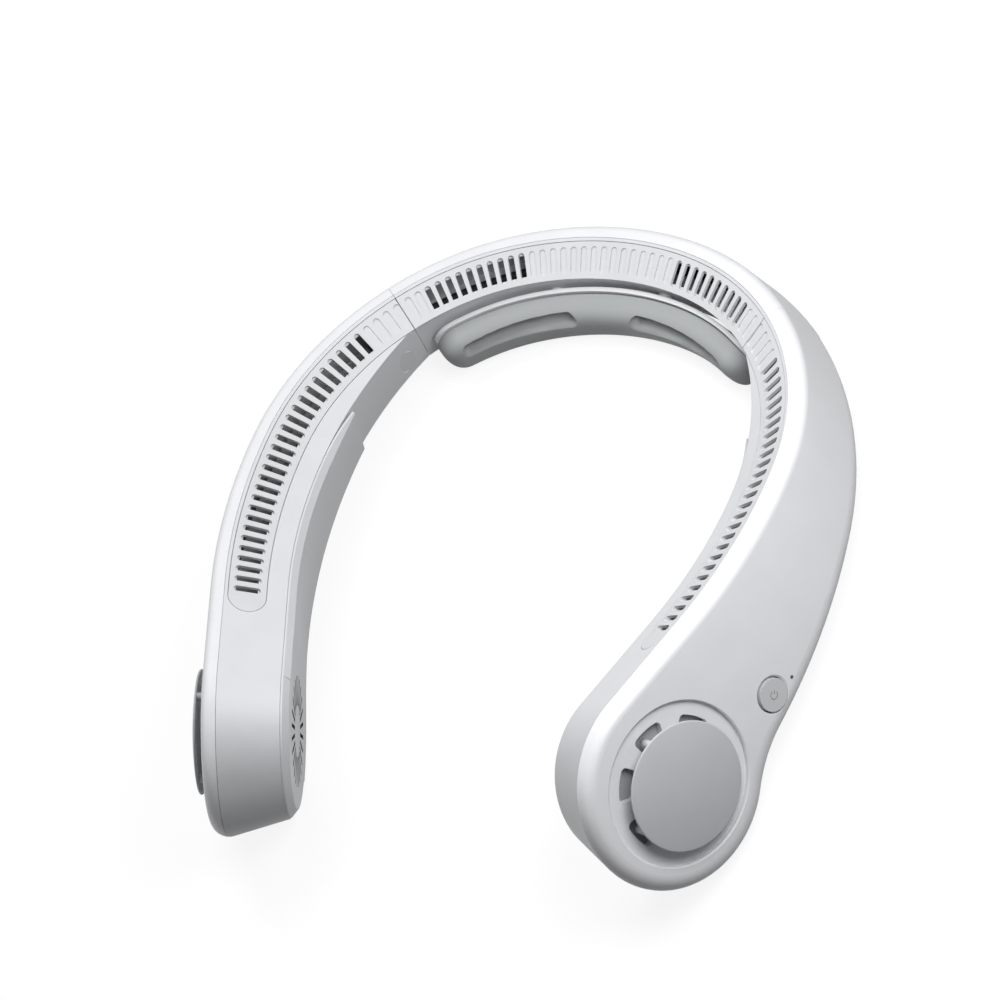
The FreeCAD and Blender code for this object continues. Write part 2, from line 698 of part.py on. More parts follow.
def cover_tray(rise_cut, inset):
    """Solid tray from the inner wall to its crown, its upper edge and nose bevelled."""
    low = cover_levels[0] + rise_cut
    high = cover_levels[1] + rise_cut
    bevel = size("cover_bevel")
    inset = size("cover_inset") + inset
    turn = low + bevel
    section = section_of(
        (high, rim_depth(high, inset)), (turn, rim_depth(turn, inset)), (low, rim_depth(turn, inset) + bevel),
        (low, deep), (high, deep),
    )
    tray = arm_slab(section, inset, size("cover_tip") + inset)
    tray = tray.cut(nose_waste((low - bevel, inset + 2 * bevel), (turn, inset)))
    return tray.cut(crown_cone(rise_cut))


cover_outer = cover_tray(0.0, 0.0)
cover_hollow = cover_tray(size("cover_wall"), size("cover_wall"))
inner_cover = cover_outer.cut(cover_hollow)
vents = []
for number in range(count("vent_count")):
    vent = Part.makeBox(
        size("vent_outer") - size("vent_inner"), size("vent_width"), 3 * size("cover_rise"),
        Vector(size("vent_inner"), -size("vent_width") / 2, cover_levels[0] - size("cover_rise")),
    )
    vent.rotate(Vector(), Vector(0, 0, 1), number * 360.0 / size("vent_count"))
    vent.Placement = fan.multiply(vent.Placement)
    vents.append(vent)
inner_cover = inner_cover.cut(vents)

# Outlet strips
strip_inner, strip_outer = size("strip_inner") - size("strip_gap"), size("strip_outer") - size("strip_gap")
seam_ease = size("strip_gap") + size("seam_gap") / 2
arm_strip = run(
    rim_strip(strip_outer, strip_inner, strip_top, strip_bottom),
    path_place(path_to_seam + seam_ease)[0], front_turn, (0.0, size("strip_reach") + 1.0),
).cut(strip_end_cut(size("strip_reach"), size("strip_gap")))
arm_cuts = []
for number in range(count("arm_slots") + count("arm_blinds")):
    place = first_slot - number * size("arm_slot_pitch")
    is_open = number < count("arm_slots")
    arm_cuts.append(slot(place, 1.0, -2 * strip_bottom if is_open else -size("blind_depth")))
arm_strip = arm_strip.cut(arm_cuts)

# Back band: outer and inner shells, its strip, the tabs into the arms
band_end = path_place(path_to_seam - size("seam_gap"))[0]
band_form = rounded(
    "band_form",
    band_run(plate_section(-size("band_depth"), size("face_rise")), band_end).common(band_keep(0.0)),
    band_radius,
)
band_plate = band_run(plate_section(0.0, size("face_rise")), band_end).common(band_form)
band_pocket = band_run(
    plate_section(-1.0, face_inside, size("lip_width")), band_end - 1.5
).common(band_keep(size("lip_width")))
band_outer_shell = band_plate.cut(band_pocket)

band_body = band_run(frame_section(-size("band_depth"), -size("case_gap")), band_end).common(band_form)
band_inside = -size("band_depth") + size("wall")
band_hollow = band_run(
    frame_section(band_inside, 1.0, size("wall")), band_end + 2.0
).common(band_keep(size("wall")))
band_inner = band_body.cut(band_hollow)
band_recess = band_run(rim_strip(size("strip_outer"), size("strip_inner"), -1.0, strip_bottom), band_end + 1.0)
band_inner = band_inner.cut(band_recess)
open_from = (size("middle_blinds") - 0.5) * size("band_slot_pitch")
open_to = (size("middle_blinds") + size("band_slots") - 0.5) * size("band_slot_pitch")
band_window = run(
    rim_strip(-size("window_margin"), window_span - size("window_margin"), 0.0, 2 * size("wall")),
    path_place(open_from)[0], path_place(open_to)[0],
)
tab_top, tab_low = size("tab_top"), size("tab_top") + size("tab_height")
tab_outer = tab_inner + size("tab_thickness")
tab = run(section_of(
    (tab_outer, tab_top), (tab_inner, tab_top), (tab_inner, tab_low), (tab_outer, tab_low)
), size("tab_back"), size("tab_front"))
tab_root = run(section_of(
    (tab_outer, tab_top), (band_inside - size("wall") / 2, tab_top),
    (band_inside - size("wall") / 2, tab_low), (tab_outer, tab_low)
), size("tab_back"), band_end - 1.0)
tab = tab.fuse(tab_root).cut(cylinder(plug_frame, screw_hole, tab_inner - 2, tab_outer + 2))
mirror_plane = (Vector(), Vector(1, 0, 0))
band_inner = band_inner.cut([band_window, band_window.mirror(*mirror_plane)])
band_inner = joined([band_inner, tab, tab.mirror(*mirror_plane)])

band_strip = band_run(
    rim_strip(strip_outer, strip_inner, strip_top, strip_bottom), path_place(path_to_seam - seam_ease)[0]
)
band_cuts = []
for number in range(count("middle_blinds") + count("band_slots") + count("band_blinds")):
    is_open = count("middle_blinds") <= number < count("middle_blinds") + count("band_slots")
    shape = slot(number * size("band_slot_pitch"), 1.0, -2 * strip_bottom if is_open else -size("blind_depth"))
    band_cuts.append(shape)
    if number:
        band_cuts.append(shape.mirror(*mirror_plane))
band_strip = band_strip.cut(band_cuts)

# Neck pad: a stiff plate on two pins and a soft crowned pad with two long channels
plate_back = -size("band_depth") - size("plate_gap")
plate_front = plate_back - size("pad_plate")
pad_low = size("pad_top") + size("pad_height")


def pad_rounding(turn):
    """Share of its full size that the pad keeps near its rounded ends."""
    ease = max(0.0, abs(turn) - (size("pad_turn") - size("pad_round"))) / size("pad_round")
    return math.sqrt(1.0 - ease ** 2)


def pad_place(turn, level, depth):
    droop = size("pad_droop") * (turn / size("pad_turn")) ** 2
    outward, height = across(level, depth + droop)
    point = on_arc(arc_at(abs(turn)), abs(turn), outward, height)
    return Vector(math.copysign(point.x, turn) if turn else 0.0, point.y, point.z)


def plate_outline(turn):
    inset = size("pad_height") * 0.4 * (1.0 - pad_rounding(turn))
    top, low = size("pad_top") + inset, pad_low - inset
    corners = [(plate_back, top), (plate_front, top), (plate_front, low), (plate_back, low)]
    places = [pad_place(turn, *corner) for corner in corners]
    return Part.Wire(Part.makePolygon(places + places[:1]).Edges)


pad_straight = size("pad_turn") - size("pad_round")
pad_half = [pad_straight * step / 4 for step in range(1, 5)]
pad_half += [pad_straight + size("pad_round") * share for share in (0.5, 0.8, 0.94)]
pad_turns = [-turn for turn in reversed(pad_half)] + [0.0] + pad_half
pad_plate = Part.makeLoft([plate_outline(turn) for turn in pad_turns], True, False)
for side in (1, -1):
    pin_frame = wall_frame(size("pad_pin_turn"), size("pad_pin_depth"))
    pin = cylinder(pin_frame, size("pad_pin_radius"), plate_back - 0.5, -size("band_depth") - size("seat_gap"))
    pad_plate = pad_plate.fuse(pin if side > 0 else pin.mirror(*mirror_plane))
pad_plate = pad_plate.removeSplitter()


def pad_section(turn):
    """Closed outline of the pad across the collar: flat back, drawn-in sides and a crowned face."""
    share = abs(turn) / size("pad_turn")
    rounding = pad_rounding(turn)
    thick = (size("pad_thickness") - size("pad_thin") * share ** 2) * rounding
    inset = size("pad_margin") + (size("pad_height") / 2 - size("pad_margin")) * 0.6 * (1.0 - rounding)
    top, low = size("pad_top") + inset, pad_low - inset
    back = plate_front - size("seat_gap")
    draw = size("pad_draw") * thick / size("pad_thickness")

    def place(level, depth):
        return pad_place(turn, level, depth)

    shoulder = back - 0.72 * thick
    middle = (top + low) / 2
    edges = [
        Part.LineSegment(place(back, top), place(back, low)),
        Part.Arc(place(back, low), place(back - 0.42 * thick, low + 0.25), place(shoulder, low - draw / 2)),
        Part.Arc(place(shoulder, low - draw / 2), place(back - thick, middle), place(shoulder, top + draw / 2)),
        Part.Arc(place(shoulder, top + draw / 2), place(back - 0.42 * thick, top - 0.25), place(back, top)),
    ]
    return Part.Wire([edge.toShape() for edge in edges])


pad_solid = Part.makeLoft([pad_section(turn) for turn in pad_turns], True, False)
channel_middle = size("pad_top") + size("channel_drop")
half_channel = size("channel_width") / 2
channel_floor = plate_front - 0.75 * size("pad_thickness") + size("channel_depth")
channel_mouth = channel_floor - 4 * size("channel_depth")
channel = run(section_of(
    (channel_floor, channel_middle - half_channel), (channel_mouth, channel_middle - half_channel),
    (channel_mouth, channel_middle + half_channel), (channel_floor, channel_middle + half_channel)
), size("channel_start"), size("channel_end"))
pad_solid = pad_solid.cut([channel, channel.mirror(*mirror_plane)])

# Wiring from arm to arm through the band
loom_pieces = []
for arc in plan[:2]:
    first, last = arc[3], min(arc[4], size("loom_turn"))
    centre = on_arc(arc, first, *across(-size("loom_level"), size("loom_depth")))
    angle = math.radians(first)
    ring = Part.makeCircle(size("loom_radius"), centre, Vector(math.cos(angle), -math.sin(angle), 0))
    face = Part.Face(Part.Wire(ring))
    loom_pieces.append(face.revolve(Vector(arc[0], arc[1], 0), Vector(0, 0, -1), last - first))
loom_half = joined(loom_pieces)
wire_loom = joined([loom_half, loom_half.mirror(*mirror_plane)])

# Duct floor under each arm's outlet strip
duct_low = size("duct_depth") + size("duct_wall")
duct_floor = run(section_of(
    (-size("duct_gap"), size("duct_depth")), (frame_inside + size("duct_gap"), size("duct_depth")),
    (frame_inside + size("duct_gap"), duct_low), (-size("duct_gap"), duct_low)
), size("duct_start"), front_turn, (0.0, size("lobe_reach") / 4)).cut(swell_cone(size("wall") + size("duct_gap")))
for frame in boss_frames:
    duct_floor = duct_floor.cut(cylinder(frame, size("boss_radius") + size("duct_gap"), frame_inside - 1, 1.0))
duct_floor = duct_floor.cut(
    cylinder(fan, size("scroll_radius") + size("scroll_wall") + size("duct_gap"), frame_inside - 1, 1.0)
)

# Controls on the right arm
button_frame = wall_frame(size("button_turn"), size("button_depth"))
lamp_frame = wall_frame(size("lamp_turn"), size("lamp_depth"))
board_top = -size("board_level")
board_bottom = board_top - size("board_thickness")
board_x = (-size("board_front"), -size("board_front") + size("board_length"))
board_y = (-size("board_below"), -size("board_below") + size("board_width"))
post_places = [(board_x[0] + size("post_inset"), board_y[1] - size("post_inset")),
               (board_x[1] - size("post_inset"), board_y[1] - size("post_inset"))]
controls_cut = feature("controls_cut", joined([
    cylinder(button_frame, size("button_radius") + size("button_ring"), 0.0, size("face_rise") + 3),
    flare(button_frame, size("button_radius") + size("button_ring"), size("button_bezel")),
    cylinder(lamp_frame, size("lamp_radius") + size("lamp_gap"), -1.0, size("face_rise") + 3),
    cylinder(button_frame, size("button_radius") + size("button_rim") + 0.3, -1.0, face_inside - 0.2),
]))
outer_shell_right = cut("outer_shell_right", shell_plain, controls_cut)
outer_shell_left = doc.addObject("Part::Mirroring", "outer_shell_left")
outer_shell_left.Source, outer_shell_left.Normal = shell_plain, Vector(1, 0, 0)

usb_x = (size("usb_back") - size("usb_width") / 2, size("usb_back") + size("usb_width") / 2)
usb_z = (board_bottom - size("usb_height"), board_bottom)
usb_y = (-size("usb_low"), -size("usb_low") + size("usb_depth"))
clear = size("usb_gap")
usb_cut = feature("usb_cut", block(
    button_frame, (usb_x[0] - clear, usb_x[1] + clear), (usb_y[0] - 6, usb_y[1] + 1),
    (usb_z[0] - clear, usb_z[1]),
))
posts = [frame_plain]
for number, (x, y) in enumerate(post_places):
    post_top = board_bottom - size("seat_gap")
    place = Vector(x, y, frame_inside - 0.8 * size("wall"))
    post = primitive("Cylinder", f"board_post_{number}", button_frame, place, Radius="Sizes.board_post")
    post.Height = post_top - place.z
    pin = primitive("Cylinder", f"board_pin_{number}", button_frame, place, Radius="Sizes.board_pin")
    pin.Height = board_top - place.z
    posts += [post, pin]
arm_frame_right = cut("arm_frame_right", fuse("frame_with_posts", posts), usb_cut)
arm_frame_left = doc.addObject("Part::Mirroring", "arm_frame_left")
arm_frame_left.Source, arm_frame_left.Normal = frame_plain, Vector(1, 0, 0)

switch_top = -size("board_level") + size("switch_height") + size("plunger_height")
button_under = switch_top + size("button_travel") + size("seat_gap")
flange_top = face_inside - 0.3
flange_low = flange_top - size("button_flange")
button_cap = primitive(
    "Cylinder", "button_cap", button_frame, Vector(0, 0, flange_low), Radius="Sizes.button_radius"
)
button_cap.Height = size("face_rise") + size("button_proud") - flange_low
button_flange = primitive(
    "Cylinder", "button_flange", button_frame, Vector(0, 0, flange_low),
    Radius="Sizes.button_radius + Sizes.button_rim", Height="Sizes.button_flange",
)
button_stem = primitive(
    "Cylinder", "button_stem", button_frame, Vector(0, 0, button_under), Radius="Sizes.button_stem"
)
button_stem.Height = flange_low - button_under
power_button = fuse("power_button", [button_cap, button_flange, button_stem])

half_switch = size("switch_size") / 2
switch_body = primitive(
    "Box", "switch_body", button_frame, Vector(-half_switch, -half_switch, board_top + size("seat_gap")),
    Length="Sizes.switch_size", Width="Sizes.switch_size", Height="Sizes.switch_height - Sizes.seat_gap",
)
switch_plunger = primitive(
    "Cylinder", "switch_plunger", button_frame, Vector(0, 0, board_top + size("switch_height") - 0.5),
    Radius="Sizes.plunger_radius", Height="Sizes.plunger_height + 0.5",
)
tact_switch = fuse("tact_switch", [switch_body, switch_plunger])

board_slab = primitive(
    "Box", "board_slab", button_frame, Vector(board_x[0], board_y[0], board_bottom),
    Length="Sizes.board_length", Width="Sizes.board_width", Height="Sizes.board_thickness",
)
board_holes = [
    primitive("Cylinder", f"board_hole_{number}", button_frame, Vector(x, y, board_bottom - 1),
              Radius="Sizes.board_pin + Sizes.plug_gap", Height="Sizes.board_thickness + 2")
    for number, (x, y) in enumerate(post_places)
]
control_board = cut("control_board", board_slab, fuse("board_holes", board_holes))

light_pipe = primitive(
    "Cylinder", "light_pipe", lamp_frame, Vector(0, 0, board_top + 1.0), Radius="Sizes.lamp_radius"
)
light_pipe.Height = size("face_rise") - board_top - 1.0

usb_body = primitive(
    "Box", "usb_body", button_frame, Vector(usb_x[0], usb_y[0], usb_z[0]),
    Length="Sizes.usb_width", Width="Sizes.usb_depth", Height="Sizes.usb_height - Sizes.seat_gap",
)
usb_mouth = primitive(
    "Box", "usb_mouth", button_frame,
    Vector(usb_x[0] + size("usb_wall"), usb_y[0] - 1, usb_z[0] + size("usb_wall")),
    Length="Sizes.usb_width - 2 * Sizes.usb_wall", Width="Sizes.usb_depth - 0.4",
    Height="Sizes.usb_height - Sizes.seat_gap - 2 * Sizes.usb_wall",
)
usb_tongue = primitive(
    "Box", "usb_tongue", button_frame,
    Vector(size("usb_back") - size("usb_width") / 3, usb_y[0] + 1.2, (usb_z[0] + usb_z[1]) / 2 - 0.35),
    Length="Sizes.usb_width * 2 / 3", Width="Sizes.usb_depth - 1.4", Height="0.7",
)
usb_socket = fuse("usb_socket", [cut("usb_shell", usb_body, usb_mouth), usb_tongue])


# Blower and intake cap, as bodies standing on the fan axis
def ground_plane(body):
    return [item for item in body.Origin.OriginFeatures if item.Role == "XY_Plane"][0]


def sketch_on(body, name, level):
    sketch = body.newObject("Sketcher::SketchObject", name)
    sketch.AttachmentSupport = (ground_plane(body), [""])
    sketch.MapMode = "FlatFace"
    sketch.AttachmentOffset = Placement(Vector(0, 0, level), Rotation())
    return sketch


def draw_circle(sketch, expression, value, x=None):
    index = sketch.addGeometry(Part.Circle(Vector(x[1] if x else 0, 0, 0), Vector(0, 0, 1), value), False)
    if x:
        sketch.addConstraint(Sketcher.Constraint("PointOnObject", index, 3, -1))
        rule = sketch.addConstraint(Sketcher.Constraint("DistanceX", -1, 1, index, 3, x[1]))
        sketch.setExpression(f"Constraints[{rule}]", x[0])
    else:
        sketch.addConstraint(Sketcher.Constraint("Coincident", index, 3, -1, 1))
    rule = sketch.addConstraint(Sketcher.Constraint("Radius", index, value))
    sketch.setExpression(f"Constraints[{rule}]", expression)


def draw_box(sketch, left, right, low, high):
    """Rectangle whose four sides are each bound to an expression of the sheet."""
    (left_rule, x0), (right_rule, x1), (low_rule, y0), (high_rule, y1) = left, right, low, high
    corners = [Vector(x0, y0, 0), Vector(x1, y0, 0), Vector(x1, y1, 0), Vector(x0, y1, 0)]
    for number in range(4):
        sketch.addGeometry(Part.LineSegment(corners[number], corners[(number + 1) % 4]), False)
    for number in range(4):
        sketch.addConstraint(Sketcher.Constraint("Coincident", number, 2, (number + 1) % 4, 1))
    for number in (0, 2):
        sketch.addConstraint(Sketcher.Constraint("Horizontal", number))
    for number in (1, 3):
        sketch.addConstraint(Sketcher.Constraint("Vertical", number))
    for kind, vertex, value, expression in (
        ("DistanceX", (0, 1), x0, left_rule), ("DistanceX", (1, 1), x1, right_rule),
        ("DistanceY", (0, 1), y0, low_rule), ("DistanceY", (2, 1), y1, high_rule),
    ):
        rule = sketch.addConstraint(Sketcher.Constraint(kind, -1, 1, vertex[0], vertex[1], value))
        sketch.setExpression(f"Constraints[{rule}]", expression)


def pad_up(body, sketch, expression, kind="Pad"):
    solid = body.newObject("PartDesign::" + kind, sketch.Name + "_" + kind.lower())
    solid.Profile = sketch
    solid.setExpression("Length", expression)
    if kind == "Pocket":
        solid.Reversed = True
    body.Tip = solid
    return solid


def pattern(body, solid, sketch, alias):
    ring = body.newObject("PartDesign::PolarPattern", sketch.Name + "_ring")
    ring.Originals = [solid]
    ring.Axis = (sketch, ["N_Axis"])
    ring.Angle = 360
    body.Tip = ring
    ring.setExpression("Occurrences", "Sizes." + alias)
    return ring


def standing_body(name):
    body = doc.addObject("PartDesign::Body", name)
    body.Placement = fan
    return body


cap_low = dish_floor + size("cap_gap")
intake_cap = standing_body("intake_cap")
disc = sketch_on(intake_cap, "cap_disc", cap_low)
draw_circle(disc, "Sizes.cap_radius", size("cap_radius"))
pad_up(intake_cap, disc, "Sizes.cap_thickness - Sizes.cap_edge")
edge = sketch_on(intake_cap, "cap_bevel", cap_low + size("cap_thickness") - size("cap_edge"))
draw_circle(edge, "Sizes.cap_radius", size("cap_radius"))
pad_up(intake_cap, edge, "Sizes.cap_edge").TaperAngle = -45
post = sketch_on(intake_cap, "cap_post", dish_floor + size("seat_gap"))
draw_circle(post, "Sizes.post_radius", size("post_radius"), ("Sizes.post_circle", size("post_circle")))
pattern(intake_cap, pad_up(intake_cap, post, "Sizes.cap_gap - Sizes.seat_gap"), post, "post_count")

base_low = frame_inside + size("seat_gap")
base_top = base_low + size("base_thickness")
impeller_low = base_top + size("impeller_lift")
hub_top = impeller_low + size("hub_height")
impeller = standing_body("impeller")
back_plate = sketch_on(impeller, "impeller_plate", impeller_low)
draw_circle(back_plate, "Sizes.impeller_radius", size("impeller_radius"))
pad_up(impeller, back_plate, "Sizes.plate_thickness")
hub = sketch_on(impeller, "impeller_hub", impeller_low)
draw_circle(hub, "Sizes.hub_radius", size("hub_radius"))
pad_up(impeller, hub, "Sizes.hub_height")
cup = sketch_on(impeller, "impeller_cup", impeller_low)
draw_circle(cup, "Sizes.hub_radius - Sizes.hub_wall", size("hub_radius") - size("hub_wall"))
pad_up(impeller, cup, "Sizes.hub_height - Sizes.hub_wall", "Pocket")
bore = sketch_on(impeller, "impeller_bore", impeller_low)
draw_circle(bore, "Sizes.shaft_radius", size("shaft_radius"))
pad_up(impeller, bore, "Sizes.hub_height + 1", "Pocket")
blade = sketch_on(impeller, "impeller_blade", impeller_low)
draw_box(
    blade, ("Sizes.blade_root", size("blade_root")), ("Sizes.blade_tip", size("blade_tip")),
    ("Sizes.blade_offset", size("blade_offset")),
    ("Sizes.blade_offset + Sizes.blade_thickness", size("blade_offset") + size("blade_thickness")),
)
pattern(impeller, pad_up(impeller, blade, "Sizes.impeller_height"), blade, "blade_count")

magnet_low = impeller_low + 0.2
magnet_outer = primitive(
    "Cylinder", "magnet_outer", fan, Vector(0, 0, magnet_low),
    Radius="Sizes.hub_radius - Sizes.hub_wall - Sizes.seat_gap", Height="Sizes.magnet_length",
)
magnet_bore = primitive(
    "Cylinder", "magnet_bore", fan, Vector(0, 0, magnet_low - 1),
    Radius="Sizes.hub_radius - Sizes.hub_wall - Sizes.seat_gap - Sizes.magnet_thickness",
    Height="Sizes.magnet_length + 2",
)
magnet_ring = cut("magnet_ring", magnet_outer, magnet_bore)

tube_top = base_top + size("tube_length")
magnet_inside = size("hub_radius") - size("hub_wall") - size("seat_gap") - size("magnet_thickness")
stator_radius = magnet_inside - size("air_gap")
stator_low = magnet_low + (size("magnet_length") - size("stator_length")) / 2
stator = standing_body("motor_stator")
core = sketch_on(stator, "stator_core", stator_low)
draw_circle(
    core, "Sizes.hub_radius - Sizes.hub_wall - Sizes.seat_gap - Sizes.magnet_thickness - Sizes.air_gap",
    stator_radius,
)
pad_up(stator, core, "Sizes.stator_length")
eye = sketch_on(stator, "stator_eye", stator_low)
draw_circle(eye, "Sizes.tube_radius + Sizes.seat_gap", size("tube_radius") + size("seat_gap"))
pad_up(stator, eye, "Sizes.stator_length", "Pocket")
notch = sketch_on(stator, "stator_notch", stator_low)
draw_box(
    notch, ("Sizes.tube_radius + 1.5", size("tube_radius") + 1.5), ("Sizes.hub_radius", size("hub_radius")),
    ("-Sizes.stator_slot / 2", -size("stator_slot") / 2), ("Sizes.stator_slot / 2", size("stator_slot") / 2),
)
pattern(stator, pad_up(stator, notch, "Sizes.stator_length", "Pocket"), notch, "stator_poles")

motor_base = standing_body("motor_base")
foot = sketch_on(motor_base, "base_foot", base_low)
draw_circle(foot, "Sizes.tube_radius + 2", size("tube_radius") + 2)
pad_up(motor_base, foot, "Sizes.base_thickness")
spoke = sketch_on(motor_base, "base_spoke", base_low)
draw_box(
    spoke, ("0", 0.0), ("Sizes.inlet_radius + 1", size("inlet_radius") + 1),
    ("-Sizes.spoke_width / 2", -size("spoke_width") / 2), ("Sizes.spoke_width / 2", size("spoke_width") / 2),
)
pattern(motor_base, pad_up(motor_base, spoke, "Sizes.base_thickness"), spoke, "spoke_count")
ring = sketch_on(motor_base, "base_ring", base_low)
draw_circle(ring, "Sizes.inlet_radius + Sizes.base_ring", size("inlet_radius") + size("base_ring"))
draw_circle(ring, "Sizes.inlet_radius", size("inlet_radius"))
pad_up(motor_base, ring, "Sizes.base_thickness")
tube = sketch_on(motor_base, "base_tube", base_low)
draw_circle(tube, "Sizes.tube_radius", size("tube_radius"))
pad_up(motor_base, tube, "Sizes.base_thickness + Sizes.tube_length")
seat = sketch_on(motor_base, "base_seat", base_top - 0.6)
draw_circle(seat, "Sizes.shaft_radius + Sizes.bearing_wall + Sizes.seat_gap",
            size("shaft_radius") + size("bearing_wall") + size("seat_gap"))
pad_up(motor_base, seat, "Sizes.tube_length + 2", "Pocket")

bearing_low = base_top - 0.6 + size("seat_gap")
bearing_outer = primitive(
    "Cylinder", "bearing_outer", fan, Vector(0, 0, bearing_low),
    Radius="Sizes.shaft_radius + Sizes.bearing_wall", Height="Sizes.tube_length",
)
bearing_bore = primitive(
    "Cylinder", "bearing_bore", fan, Vector(0, 0, bearing_low - 1),
    Radius="Sizes.shaft_radius + Sizes.running_fit", Height="Sizes.tube_length + 2",
)
sleeve_bearing = cut("sleeve_bearing", bearing_outer, bearing_bore)
motor_shaft = primitive(
    "Cylinder", "motor_shaft", fan, Vector(0, 0, bearing_low + 0.3), Radius="Sizes.shaft_radius"
)
motor_shaft.Height = hub_top - bearing_low - 0.3

scroll_outer = primitive(
    "Cylinder", "scroll_outer", fan, Vector(0, 0, base_low), Radius="Sizes.scroll_radius + Sizes.scroll_wall"
)
scroll_outer.Height = dish_back - size("case_gap") - base_low
scroll_bore = primitive(
    "Cylinder", "scroll_bore", fan, Vector(0, 0, base_low - 1), Radius="Sizes.scroll_radius"
)
scroll_bore.Height = scroll_outer.Height.Value + 2
duct_mouth = fan_depth - size("duct_depth")
scroll_mouth = primitive("Box", "scroll_mouth", fan, Vector(-2, duct_mouth, base_low + 1.5))
scroll_mouth.Length, scroll_mouth.Width, scroll_mouth.Height = 40, 40, scroll_outer.Height.Value
scroll_ring = cut("scroll_ring", scroll_outer, fuse("scroll_openings", [scroll_bore, scroll_mouth]))

battery_frame = wall_frame(size("battery_turn"), size("battery_depth"))
battery_cell = primitive(
    "Box", "battery_cell", battery_frame,
    Vector(-size("battery_length") / 2, -size("battery_width"), -size("battery_level")),
    Length="Sizes.battery_length", Width="Sizes.battery_width", Height="Sizes.battery_thickness",
)

# Screws: case screws up through the inner walls into the shell bosses, and one at each seam tab
case_screws, joint_screws = [], []
for frame in boss_frames:
    seat_level = -size("arm_depth") - size("seat_gap")
    head = cylinder(frame, size("screw_head"), seat_level - size("screw_head_height"), seat_level)
    shank = cylinder(frame, size("screw_radius"), seat_level, boss_foot + size("screw_length") - 1)
    case_screws.append(head.fuse(shank).removeSplitter())
head = cylinder(plug_frame, size("joint_head"), plug_floor + size("seat_gap"), head_floor - size("seat_gap"))
shank = cylinder(
    plug_frame, size("screw_radius"), head_floor - size("seat_gap"), head_floor + size("joint_length")
)
joint_screws.append(head.fuse(shank).removeSplitter())


def both_sides(solids):
    return Part.makeCompound(solids + [solid.mirror(*mirror_plane) for solid in solids])


for obj, label in (
    (feature("inner_cover_solid", inner_cover), "inner_cover"),
    (feature("outlet_strip_solid", arm_strip), "outlet_strip"),
    (feature("duct_floor_solid", duct_floor), "duct_floor"),
    (seam_plug, "seam_plug"), (intake_cap, "intake_cap"), (impeller, "impeller"), (magnet_ring, "magnet_ring"),
    (motor_shaft, "motor_shaft"), (stator, "motor_stator"), (motor_base, "motor_base"),
    (sleeve_bearing, "sleeve_bearing"), (scroll_ring, "scroll_ring"), (battery_cell, "battery_cell"),
):
    publish(obj, label)
for obj, label in (
    (outer_shell_right, "outer_shell_right"), (outer_shell_left, "outer_shell_left"),
    (arm_frame_right, "arm_frame_right"), (arm_frame_left, "arm_frame_left"),
    (feature("band_outer_solid", band_outer_shell), "band_outer_shell"),
    (feature("band_inner_solid", band_inner), "band_inner_shell"),
    (feature("band_strip_solid", band_strip), "band_outlet_strip"),
    (feature("pad_plate_solid", pad_plate), "neck_pad_plate"),
    (feature("neck_pad_solid", pad_solid), "neck_pad"),
    (power_button, "power_button"), (tact_switch, "tact_switch"), (control_board, "control_board"),
    (light_pipe, "light_pipe"), (usb_socket, "usb_socket"),
    (feature("wire_loom_solid", wire_loom), "wire_loom"),
    (feature("case_screw_set", both_sides(case_screws)), "case_screws"),
    (feature("joint_screw_set", both_sides(joint_screws)), "joint_screws"),
):
    publish(obj, label, pair=False)
doc.recompute()


def rest_placement(solids):
    """Set the collar down on its neck pad and the bottoms of its two lobes."""
    points = []
    for solid in solids:
        points += solid.tessellate(0.05)[0]
    middle = arm_corner.y / 2
    low, high = 0.0, 0.6
    for _ in range(40):
        pitch = (low + high) / 2
        heights = [(point.y, point.z * math.cos(pitch) - point.y * math.sin(pitch)) for point in points]
        back = min(height for y, height in heights if y > middle)
        front = min(height for y, height in heights if y <= middle)
        low, high = (low, pitch) if back < front else (pitch, high)
    turn = Rotation(Vector(1, 0, 0), -math.degrees(pitch))
    moved = [turn.multVec(point) for point in points]
    depth = (min(point.y for point in moved) + max(point.y for point in moved)) / 2
    return Placement(Vector(0, -depth, -min(point.z for point in moved)), turn)


rest = rest_placement([
    outer_shell_right.Shape, arm_frame_right.Shape, band_outer_shell, intake_cap.Shape, pad_plate, pad_solid,
])
for obj in finished:
    obj.Placement = rest.multiply(obj.Placement)
doc.recompute()

os.makedirs("parts", exist_ok=True)
for obj in finished + mirrored:
    shape = obj.Shape
    failed = "Invalid" in obj.State or "Error" in obj.State or shape.isNull()
    if failed or not shape.isValid() or not shape.Solids:
        raise RuntimeError(f"{obj.Label} did not build: {obj.State} solids {len(shape.Solids)}")
    shape.exportStep(f"parts/{obj.Label}.step")
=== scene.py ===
import json
import math
import bmesh
import bpy
import numpy as np
from mathutils import Matrix, Vector


